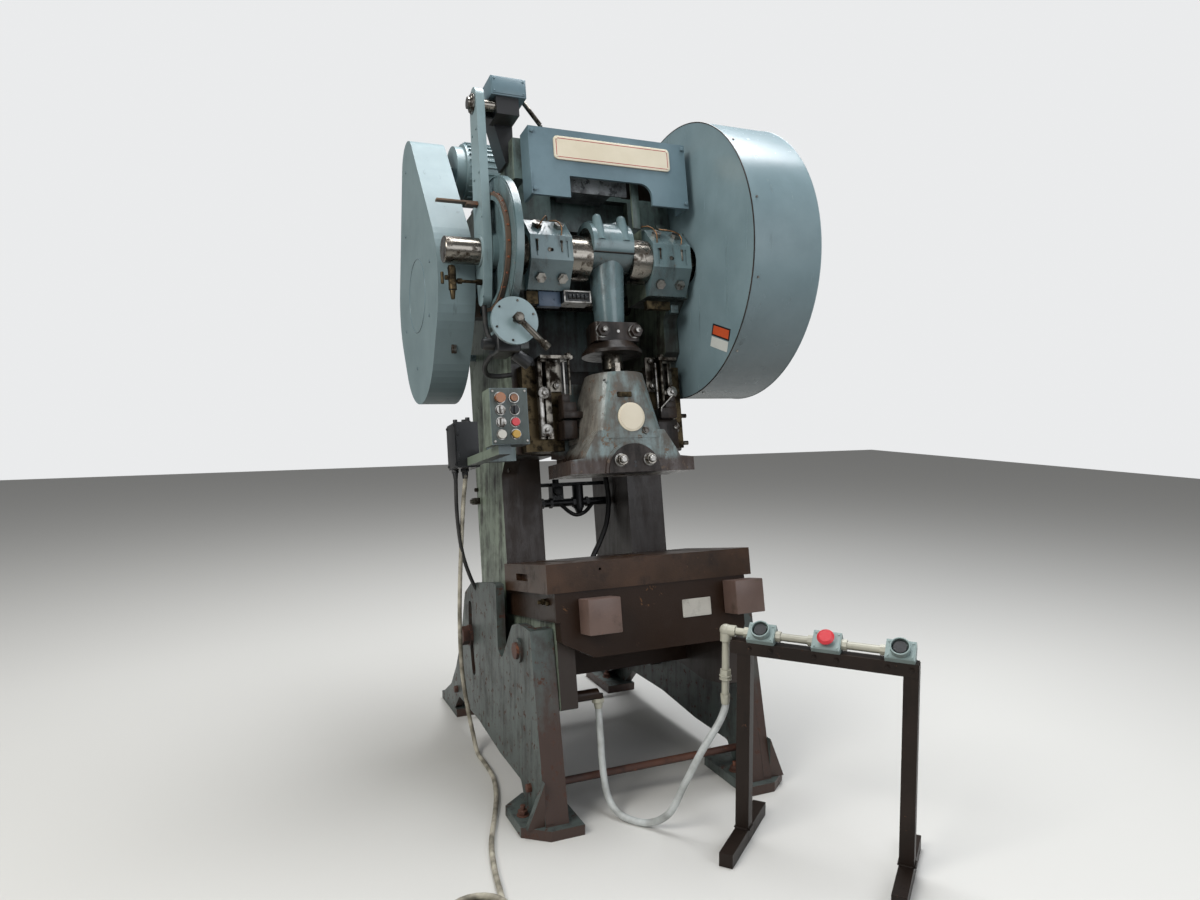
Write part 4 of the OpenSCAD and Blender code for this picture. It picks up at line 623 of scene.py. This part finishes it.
# Limit switch: a sheet box in blue-grey enamel over the black switch body, its lid screws, and a
# steel stay from the box down to the crown.
part = bmesh.new()
block(part, (-451, -502, 2642), (-310, -378, 2718), 3)
block(part, (-446, -505, 2648), (-315, -501, 2712), 1.5)
for x in (-438, -323):
    for z in (2656, 2704):
        add_screw(part, (x, -505, z), 3.6, 2.4)
new_piece("limit_switch_box", part, cover_enamel)
part = bmesh.new()
rod(part, (-300, -400, 2696), (-222, -400, 2596), 9, sides=24, rounding=1.5)
rod(part, (-222, -400, 2596), (-205, -330, 2440), 9, sides=24)
add_hex(part, (-318, -400, 2694), (-303, -400, 2694), 26)
rod(part, (-205, -330, 2440), (-203, -322, 2421), 9, 15, 24)
new_piece("limit_switch_stay", part, dark_steel)

# Chain case: a bearing flange round the cam shaft, cover screws, a round boss at the crank, and
# a rusted flat spring that sticks out towards the belt guard.
part = bmesh.new()
rod(part, (-515, -465, 2612), (-522, -465, 2612), 38, sides=40, rounding=1.5)
for y, z in around((-465, 2612), 31, 4, 45):
    rod(part, (-522, y, z), (-526, y, z), 4, sides=18, rounding=0.7)
new_piece("cam_bearing_flange", part, bolt_steel)
part = bmesh.new()
for y, z in ((-492, 2500), (-440, 2495), (-497, 2330), (-430, 2325), (-500, 2160), (-395, 1990), (-460, 1870)):
    rod(part, (-515, y, z), (-519, y, z), 5, sides=18, rounding=0.8)
rod(part, (-515, -440, 2045), (-521, -440, 2045), 60, 58, 48)
new_piece("chain_case_screws", part, case_enamel)
part = bmesh.new()
block(part, (-672, -462, 2224), (-480, -438, 2232), 1.2)
block(part, (-560, -466, 2216), (-483, -434, 2226), 1.5)
new_piece("rusted_spring_strip", part, band_steel)

# Brake drum and crank end: rust-stained rivets round the band, a thin hoop just inside the edge
# of the drum's flange, and the ground end of the crankshaft with its centre hole.
part = bmesh.new()
crank = (-440, 2045)
for inner, outer in zip(around(crank, 217, 24, 7), around(crank, 221, 24, 7)):
    rod(part, (-470, *inner), (-470, *outer), 5, 3.4, 16)
new_piece("brake_band_rivets", part, enamel("rivet_rust", "#9A5A38", "#7C4630", "#4A3026", "#B4683E", 0.2, 0.4,
                                            0.7, 4))
part = bmesh.new()
bmesh.ops.create_circle(part, cap_ends=True, segments=12, radius=4.5,
                        matrix=Matrix.Translation((-459, 274, 0)) @ turned(90))
bmesh.ops.rotate(part, verts=part.verts, cent=(-459, 274, 0), matrix=Matrix.Rotation(math.radians(90), 3, "Z"))
bmesh.ops.rotate(part, verts=part.verts, cent=(-459, 274, 0), matrix=Matrix.Rotation(math.radians(90), 3, "Z"))
bmesh.ops.spin(part, geom=part.verts[:] + part.edges[:] + part.faces[:], cent=(-459, 0, 0),
               axis=(1, 0, 0), dvec=(0, 0, 0), angle=math.radians(360), steps=72, use_merge=True)
bmesh.ops.delete(part, geom=[f for f in part.faces if len(f.verts) > 4], context="FACES_ONLY")
bmesh.ops.translate(part, verts=part.verts, vec=(0, -440, 2045))
new_piece("brake_drum_rim", part, drive_enamel, "crank")
part = bmesh.new()
rod(part, (-648, *crank), (-653, *crank), 49.6, 46, 56)
rod(part, (-652.6, *crank), (-653.4, *crank), 9, 7, 24)
new_piece("crank_stub_end", part, ground_steel, "crank")

# Main bearings: a pin in each slot of the caps, washers under the bolts, copper oil tubes that
# curve from the bolts to the caps, and the blocks and terminal block below the housings.
part = bmesh.new()
for x in (-316, -218, 204, 302):
    rod(part, (x, -531, 2034), (x, -531, 2074), 3.2, sides=16, rounding=1)
    rod(part, (x, -531, 2070), (x, -531, 2079), 5, sides=18, rounding=1.2)
for x in (-268, 252):
    rod(part, (x, -530, 2041), (x, -532.5, 2041), 8.5, sides=24, rounding=0.8)
new_piece("bearing_cap_pins", part, dark_steel)
oil_copper = metal("oil_tube_copper", "#A8805C", "#7E5C40", "#4A3A2C", 0.35, (60.0, 60.0, 60.0), 0.5)
for k, places in enumerate([[(-306, -498, 2120), (-292, -520, 2150), (-268, -510, 2178), (-252, -480, 2176)],
                            [(-216, -522, 2090), (-214, -530, 2130), (-222, -510, 2160), (-244, -480, 2172)],
                            [(196, -520, 2090), (192, -530, 2140), (176, -500, 2176), (150, -460, 2184)],
                            [(304, -520, 2090), (306, -528, 2130), (286, -508, 2160), (240, -470, 2180)]]):
    tube("oil_tube_%d" % k, smooth_route([leaned(*p) for p in places], 8), 0.0026, 8, oil_copper)
part = bmesh.new()
block(part, (-345, -452, 1852), (-297, -425, 1902), 2)
block(part, (167, -452, 1851), (274, -425, 1886), 2)
new_piece("bearing_wear_blocks", part, dull_bronze)
part = bmesh.new()
block(part, (-296, -454, 1844), (-206, -420, 1902), 2.5)
for x in (-280, -232):
    add_screw(part, (x, -454, 1872), 5, 2.5)
new_piece("terminal_block", part, enamel("blue_terminal_plastic", "#4E5F73", "#435366", "#2B3038", "#3A3A3A",
                                         0.25, 0.0, 0.4, 4))
part = bmesh.new()
block(part, (278, -450, 1840), (312, -424, 1872), 2)
add_screw(part, (296, -450, 1856), 6, 3)
new_piece("bearing_side_block", part, drive_enamel)

# Stroke counter: a black window with number wheels in a bright frame, and its reset knob.
part = bmesh.new()
block(part, (-200, -480, 1858), (-95, -473, 1900), 2)
for k in range(5):
    rod(part, (-186 + 17*k, -478, 1879), (-173 + 17*k, -478, 1879), 11, sides=24, rounding=1)
rod(part, (-92, -455, 1880), (-78, -455, 1880), 9, sides=24, rounding=1.5)
new_piece("stroke_counter_wheels", part, black_plastic)
part = bmesh.new()
for low, high in (((-205, -484, 1896), (-90, -473, 1903)), ((-205, -484, 1854), (-90, -473, 1861)),
                  ((-205, -484, 1856), (-197, -473, 1901)), ((-98, -484, 1856), (-90, -473, 1901))):
    block(part, low, high, 1.5)
new_piece("stroke_counter_frame", part, bolt_steel)

# Pitman: the line where its cap is split, the two bolt ears that rise on its front like rabbit
# ears, and washers and bolt ends of the collar.
part = bmesh.new()
block(part, (-86.6, -541.5, 2044), (86.6, -440, 2047), 0.8)
new_piece("pitman_cap_joint", part, oily_iron, "pitman")
part = bmesh.new()
for x in (-52, 52):
    rod(part, (x, -519, 2092), (x, -503, 2190), 27, 18, 32)
    bmesh.ops.create_uvsphere(part, u_segments=28, v_segments=12, radius=18.4,
                              matrix=Matrix.Translation((x, -502.6, 2189)))
new_piece("pitman_bolt_ears", part, drive_enamel, "pitman")
part = bmesh.new()
for x in (-70, 70):
    rod(part, (x, -513.8, 1739), (x, -517.5, 1739), 27, sides=32, rounding=0.8)
    rod(part, (x, -537, 1739), (x, -552, 1739), 11, sides=24, rounding=1.5)
rod(part, (0, -513.8, 1739), (0, -516, 1739), 6, sides=20)
new_piece("clamp_collar_washers", part, bolt_steel, "pitman")

# Ram: a blank round badge in cream enamel, a bronze plate, a bolt, washers with hexagon heads
# on the tool clamp, and three black discs that are painted shade for holes.
part = bmesh.new()
rod(part, (2, -566.6, 1396), (2, -572, 1396), 56, 55, 56, 1)
rod(part, (2, -571.8, 1396), (2, -572.6, 1396), 47, 47, 56)
for f in part.faces:
    if 44 < (f.calc_center_median() - Vector((2, -572, 1396))).length < 48 and abs(f.normal.y) < 0.5:
        f.material_index = 1
new_piece("ram_badge", part, [cream_enamel, red_line], "ram")
part = bmesh.new()
add_plate(part, (-46, -566, 1474), (12, -556, 1493), 2, 0.8)
new_piece("ram_bronze_tag", part, dull_bronze, "ram")
part = bmesh.new()
rod(part, (56, -567, 1345), (56, -578, 1345), 14, sides=24, rounding=2)
rod(part, (56, -577, 1345), (56, -584, 1345), 8, sides=20, rounding=1)
for x in (-60, 60):
    rod(part, (x, -577.8, 1233), (x, -581, 1233), 25, sides=32, rounding=0.8)
    add_hex(part, (x, -601, 1233), (x, -612, 1233), 26)
new_piece("ram_bolt_trim", part, bolt_steel, "ram")
# Painted shade: black discs stand for the dark inside of three holes.
part = bmesh.new()
rod(part, (0, -577.6, 1224), (0, -579, 1224), 5, sides=20)
rod(part, (0, -577.6, 1210), (0, -579, 1210), 5, sides=20)
rod(part, (-88, -540, 1541), (-90, -552, 1541), 4, sides=18)
new_piece("ram_hole_shade_discs", part, black_plastic, "ram")

# Guides: slotted knock-out bars on both sides, bright bars, wedge brackets that stop the
# knock-out rods, a cotter pin, and bolts with washers.
part = bmesh.new()
for x0, x1 in ((-295, -247), (237, 286)):
    for low, high in (((x0, -388, 1516), (x0 + 15, -366, 1656)), ((x1 - 15, -388, 1516), (x1, -366, 1656)),
                      ((x0, -388, 1642), (x1, -366, 1656)), ((x0, -388, 1512), (x1, -366, 1530))):
        block(part, low, high, 1.5)
new_piece("knock_out_slotted_bars", part, dark_steel)
part = bmesh.new()
block(part, (-297, -392, 1350), (-279, -366, 1504), 2)
block(part, (-201, -412, 1506), (-193, -404, 1640), 1)
block(part, (213, -392, 1430), (221, -380, 1644), 1.5)
new_piece("knock_out_bright_bars", part, bolt_steel)
part = bmesh.new()
block(part, (-217, -432, 1414), (-137, -372, 1440), 3)
block(part, (-217, -428, 1438), (-160, -376, 1478), 3)
block(part, (-217, -424, 1476), (-184, -380, 1509), 3)
block(part, (-214, -420, 1335), (-158, -345, 1408), 4)
block(part, (203, -432, 1409), (277, -380, 1452), 3)
block(part, (228, -430, 1450), (277, -380, 1478), 3)
block(part, (252, -428, 1476), (277, -380, 1502), 3)
block(part, (205, -400, 1285), (293, -345, 1409), 3)
new_piece("knock_out_wedges", part, oily_iron)
part = bmesh.new()
rod(part, (206, -436, 1452), (269, -436, 1508), 3.4, sides=14, rounding=1)
rod(part, (206, -436, 1452), (203, -436, 1436), 3.2, sides=14)
for x, z in ((-278, 1519), (-274, 1375), (284, 1523), (284, 1376)):
    rod(part, (x, -389.8, z), (x, -394, z), 23, rounding=1)
    rod(part, (x, -393, z), (x, -404, z), 9, sides=20, rounding=1.2)
for s in (-1, 1):
    for z in (1552, 1655):
        rod(part, (s*211, -369.8, z), (s*211, -373, z), 8, sides=20, rounding=1)
new_piece("knock_out_pins_and_bolts", part, bolt_steel)

# Air valve: six screws round its cover, the pipe handle with its tee and cap, the black valve
# body behind it, and the hoses that hang below.
part = bmesh.new()
for x, z in around((-458, 1736), 73, 6, 20):
    rod(part, (x, -635, z), (x, -638.5, z), 4.2, sides=16, rounding=0.8)
new_piece("air_valve_screws", part, dark_steel)
part = bmesh.new()
rod(part, (-458, -662, 1736), (-458, -690, 1736), 17, rounding=2.5)
rod(part, (-470, -669, 1748), (-444, -669, 1722), 15, rounding=2)
rod(part, (-446, -669, 1724), (-366, -669, 1644), 11, sides=24)
rod(part, (-372, -669, 1650), (-352, -669, 1630), 15, sides=24, rounding=2.5)
new_piece("air_valve_pipe_handle", part, dark_steel, "valve handle")
part = bmesh.new()
block(part, (-505, -560, 1640), (-415, -470, 1716), 8, 3)
rod(part, (-505, -515, 1676), (-548, -515, 1676), 24, 20, 28, 2)
rod(part, (-430, -515, 1645), (-372, -515, 1604), 24, rounding=3)
block(part, (-470, -470, 1660), (-400, -330, 1700), 6)
new_piece("air_valve_body", part, black_plastic)
for k, (radius, places) in enumerate([
        (10, [(-508, -500, 1690), (-515, -470, 1740), (-506, -430, 1830), (-500, -400, 1930),
              (-496, -380, 2000)]),
        (10, [(-486, -470, 1660), (-500, -380, 1630), (-478, -320, 1604), (-430, -300, 1600),
              (-370, -290, 1608)]),
        (9, [(-440, -480, 1700), (-430, -420, 1740), (-410, -360, 1720), (-370, -320, 1690)])]):
    tube("valve_hose_%d" % k, smooth_route([leaned(*p) for p in places], 8), radius/1000, 12, black_rubber)

# Control panel: a cover plate with corner screws, and a bezel ring round each operator.
part = bmesh.new()
add_plate(part, (-555, -603, 1303), (-423, -600, 1497), 6, 1.0)
new_piece("panel_cover_plate", part, enamel("panel_plate_worn", "#4F5957", "#444D4B", "#2A2A28", "#6A6258", 0.35,
                                            0.20, 0.4, 6))
part = bmesh.new()
for x in (-548, -430):
    for z in (1311, 1489):
        add_screw(part, (x, -603, z), 5, 2.6)
for row in range(4):
    for col in range(2):
        x, z = -523 + 52*col, 1464 - 43*row
        inner = 18.6 if (row, col) == (0, 0) else 16.0
        ring = bmesh.ops.create_circle(part, cap_ends=False, segments=36, radius=inner + 2.8,
                                       matrix=Matrix.Translation((x, -606.5, z)) @ turned(90))
        rim = edges_of(ring["verts"])
        wall = bmesh.ops.extrude_edge_only(part, edges=rim)["geom"]
        bmesh.ops.translate(part, verts=[g for g in wall if isinstance(g, bmesh.types.BMVert)], vec=(0, 3.6, 0))
        lip = bmesh.ops.extrude_edge_only(part, edges=rim)["geom"]
        lip_verts = [g for g in lip if isinstance(g, bmesh.types.BMVert)]
        bmesh.ops.scale(part, verts=lip_verts, vec=(inner/(inner + 2.8),)*3,
                        space=Matrix.Translation((-x, 606.5, -z)))
new_piece("panel_bezels_and_screws", part, bolt_steel)

# Bed: a blank data plate in pale metal with four rivets, oil fittings on the left end, and the
# worn bare faces of the two stop blocks.
part = bmesh.new()
add_plate(part, (109, -658, 640), (228, -655, 705), 3, 0.6)
add_plate(part, (119, -658.6, 645), (218, -657.5, 700), 2, 0.3)
for x in (114, 223):
    for z in (645, 700):
        rod(part, (x, -657.5, z), (x, -660, z), 2.6, sides=14, rounding=0.5)
new_piece("bed_data_plate", part, enamel("data_plate_etched_alloy", "#B7B4AC", "#A8A49B", "#76706A", "#7A5A48",
                                         0.35, 0.2, 0.4, 3, 0.1),
          smooth=4)
part = bmesh.new()
rod(part, (-385, -560, 742), (-402, -560, 742), 11, sides=6)
rod(part, (-400, -560, 742), (-416, -560, 742), 7, sides=20, rounding=1)
rod(part, (-385, -590, 738), (-396, -590, 738), 9, sides=24, rounding=1.5)
rod(part, (-396, -575, 748), (-396, -540, 748), 5, sides=18, rounding=1)
new_piece("bed_oil_fittings", part, dull_bronze)
stop_blocks = enamel("stop_block_bare_iron", "#6C5850", "#5C4A43", "#33291F", "#7A5E50", 0.24, 0.22, 0.42, 5, 0.2)
part = bmesh.new()
block(part, (-300, -746, 627), (-178, -656, 748), 3)
block(part, (286, -746, 638), (406, -656, 760), 3)
new_piece("bed_stop_block_faces", part, stop_blocks)

# Air line: pipe nuts, the foot and cap of the filter, a gauge, and black hoses that loop below.
part = bmesh.new()
for x in (-120, -80, 30, 95):
    rod(part, (x, 160, 1113), (x + 14, 160, 1113), 23, sides=6)
rod(part, (62, 160, 1085), (62, 160, 1060), 21, 12, 28, 2)
rod(part, (62, 160, 1062), (62, 160, 1052), 6, sides=18)
rod(part, (-43, 136, 1165), (-43, 122, 1165), 21, sides=32, rounding=2)
rod(part, (-43, 160, 1200), (-43, 160, 1228), 15, sides=24, rounding=2)
new_piece("air_line_fittings", part, black_plastic)
for k, (radius, places) in enumerate([
        (9, [(-60, 160, 1122), (-28, 150, 1103), (6, 140, 1070), (41, 140, 1054), (85, 145, 1066),
             (128, 160, 1100)]),
        (12, [(199, 120, 1262), (178, 100, 1225), (183, 95, 1111), (165, 95, 1010), (130, 95, 934), (85, 95, 857),
              (60, 95, 790)])]):
    tube("air_hose_%d" % k, smooth_route([leaned(*p) for p in places], 8), radius/1000, 14, black_rubber)

# Left wall: a latch block with its knob near the back edge, and two plugs.
part = bmesh.new()
block(part, (-398, 258, 1130), (-368, 300, 1160), 2.5)
rod(part, (-398, 266, 1144), (-412, 266, 1144), 10, sides=24, rounding=1.5)
rod(part, (-368, 285, 1196), (-384, 285, 1196), 9, sides=24, rounding=1.5)
rod(part, (-368, -200, 1240), (-378, -200, 1240), 8, sides=24, rounding=1.5)
new_piece("left_wall_latch", part, dark_steel)

# Gear guard: screws along its rim, a rolled bead at each seam, and a label of plain fields.
part = bmesh.new()
gear_guard_middle = (-370, 2073)
for inner, outer in zip(around(gear_guard_middle, 566, 12, 22), around(gear_guard_middle, 572, 12, 22)):
    rod(part, (398, *inner), (398, *outer), 5.5, 4, 18)
new_piece("gear_guard_screws", part, bolt_steel)
for name, x in (("gear_guard_seam", 373.5), ("gear_guard_back_seam", 672.5)):
    part = bmesh.new()
    add_bead(part, x, gear_guard_middle, 567, 2.6, 8, 120)
    new_piece(name, part, oily_iron if x < 400 else guard_enamel)
part = bmesh.new()
block(part, (371.2, -66, 0), (372.0, 66, 46))
block(part, (371.0, -58, 6), (371.4, 58, 40))
block(part, (371.2, -62, -44), (372.0, 62, -4))
part.faces.ensure_lookup_table()
for k in range(6):
    part.faces[6 + k].material_index = 1
    part.faces[12 + k].material_index = 2
bmesh.ops.rotate(part, verts=part.verts, cent=(371, 0, 0), matrix=Matrix.Rotation(math.radians(24), 3, "X"))
bmesh.ops.translate(part, verts=part.verts, vec=(0, -650, 1690))
label_orange = enamel("label_print_orange", "#C8562E", "#B84C2A", "#8A4028", "#8A4028", 0.1, 0.0, 0.45, 8)
label_pale = enamel("label_print_pale", "#C9CBC6", "#BCBEB9", "#8A8C88", "#8A8C88", 0.2, 0.1, 0.45, 8)
new_piece("gear_guard_label", part, [black_plastic, label_orange, label_pale])

# Belt guard: a pressed ring on its outer face, cover screws, and a toggle latch on its front.
part = bmesh.new()
add_bead(part, -660.4, (-3, 1991), 150, 2.2, 8, 80)
for y, z in ((-250, 2060), (-200, 1860), (60, 1700), (240, 1900), (160, 2300), (90, 2560)):
    rod(part, (-660, y, z), (-663, y, z), 6, sides=18, rounding=0.8)
new_piece("belt_guard_face_details", part, guard_enamel)
part = bmesh.new()
block(part, (-600, -262, 1722), (-572, -250, 1770), 2)
rod(part, (-604, -262, 1736), (-568, -262, 1736), 5, sides=18, rounding=1)
block(part, (-596, -268, 1696), (-576, -256, 1730), 2)
new_piece("belt_guard_latch", part, bolt_steel)

# Motor: cooling fins round its body, a terminal box, and eight bosses on its end.
part = bmesh.new()
motor = (59, 2562)
fin_length, fin_thickness, fin_inner, fin_outer = 300, 4, 126, 137
for k in range(30):
    spot = Matrix.Translation((0, *motor)) @ turned(12*k)
    for v in bmesh.ops.create_cube(part, size=1.0)["verts"]:
        v.co = spot @ Vector((-270 + v.co.x*fin_length, v.co.y*fin_thickness,
                              (fin_inner + fin_outer)/2 + v.co.z*(fin_outer - fin_inner)))
block(part, (-330, 150, 2600), (-210, 215, 2680), 6)
for y, z in around(motor, 70, 8, 0):
    rod(part, (-70, y, z), (-66, y, z), 16, sides=20, rounding=1)
new_piece("motor_fins_and_box", part, case_enamel)

# Oiler and petcock: a rusty brass valve with a lever on the pipe from the chain case.
part = bmesh.new()
rod(part, (-628, -450, 1888), (-628, -450, 1856), 11, 7, 20, 1)
rod(part, (-628, -450, 1970), (-628, -450, 1982), 15.5, 12, 24, 1.5)
rod(part, (-655, -450, 1936), (-628, -450, 1936), 9, sides=20, rounding=1.5)
rod(part, (-664, -450, 1912), (-664, -450, 1956), 6, sides=18, rounding=1.5)
rod(part, (-628, -468, 1915), (-628, -440, 1915), 10, sides=20, rounding=1.5)
rod(part, (-608, -450, 1925), (-592, -450, 1925), 11, sides=6)
rod(part, (-534, -450, 1925), (-516, -450, 1925), 12, sides=6)
new_piece("oiler_petcock", part, dull_bronze)

# Legs: bolts, washers and nuts on the floor anchors, and nuts on the tie rods.
part = bmesh.new()
for s in (-1, 1):
    for x, y in ((365*s, -597), (365*s, 597), (498*s, -597)):
        rod(part, (x, y, 36), (x, y, 39), 22, rounding=0.6)
        add_hex(part, (x, y, 39), (x, y, 55), 30)
        rod(part, (x, y, 55), (x, y, 72), 9, sides=20, rounding=1.5)
    for y, z in ((-560, 110), (444, 140)):
        add_hex(part, (456*s, y, z), (472*s, y, z), 28)
new_piece("leg_anchor_nuts", part, bolt_rust, "base", MM)

part = bmesh.new()
rod(part, (-197, -526, 376), (-197, -526, 362), 24, sides=8)
rod(part, (-197, -526, 362), (-197, -526, 340), 17, 13.4, 28, 1)
new_piece("flexible_conduit_fitting", part, galvanised_pipe)

# Operator stand: lids with screws on the boxes, unions of the conduit, bolts of the crossbar,
# weld beads at the posts' feet, and the rolled lips of the ring guards.
part = bmesh.new()
for x in (55, 265, 487):
    tilt = Matrix.Translation((x, -15, 717)) @ turned(45)
    made = bmesh.ops.create_cube(part, size=1.0)["verts"]
    edges = edges_of(made)
    for v in made:
        v.co = tilt @ Vector((v.co.x*82, v.co.y*60, 0.8 + v.co.z*1.6))
    soften(part, edges, 0.6, 1)
    for dx in (-35, 35):
        for dy in (-24, 24):
            rod(part, tilt @ Vector((dx, dy, 1.5)), tilt @ Vector((dx, dy, 4.0)), 3.6, sides=16, rounding=0.7)
new_piece("button_box_lids", part, box_enamel, "base", STAND)
part = bmesh.new()
for x0, x1 in ((-6, 11), (99, 116), (204, 221), (309, 326), (426, 443)):
    rod(part, (x0, 4, 704), (x1, 4, 704), 18, sides=8)
for z0, z1 in ((536, 541), (547, 552)):
    rod(part, (-70, 4, z0), (-70, 4, z1), 20.5, rounding=1)
rod(part, (-70, 4, 486), (-70, 4, 476), 17, sides=8)
rod(part, (-70, 4, 476), (-70, 4, 452), 16, 13.4, 28, 1)
new_piece("stand_conduit_unions", part, galvanised_pipe, "base", STAND)
part = bmesh.new()
for x in (20, 90, 230, 300, 452, 522):
    add_hex(part, (x, -27.5, 662), (x, -33, 662), 11)
for x in (0, 520):
    for y in (-24, 24):
        rod(part, (x - 20, y, 46), (x + 20, y, 46), 3.6, sides=12)
    rod(part, (x - 24, -20, 46), (x - 24, 20, 46), 3.6, sides=12)
    rod(part, (x + 24, -20, 46), (x + 24, 20, 46), 3.6, sides=12)
new_piece("stand_bolts_and_welds", part, stand_steel, "base", STAND)
part = bmesh.new()
for x in (55, 487):
    tilt = Matrix.Translation((x, -15, 717)) @ turned(45)
    made = bmesh.ops.create_circle(part, cap_ends=False, segments=10, radius=2.4,
                                   matrix=tilt @ Matrix.Translation((28, 0, 22)) @ turned(90))
    bmesh.ops.spin(part, geom=made["verts"] + edges_of(made["verts"]),
                   cent=tilt @ Vector((0, 0, 22)), axis=tilt.to_3x3() @ Vector((0, 0, 1)), dvec=(0, 0, 0),
                   angle=math.radians(360), steps=48, use_merge=True)
new_piece("button_ring_lips", part, box_enamel, "base", STAND)
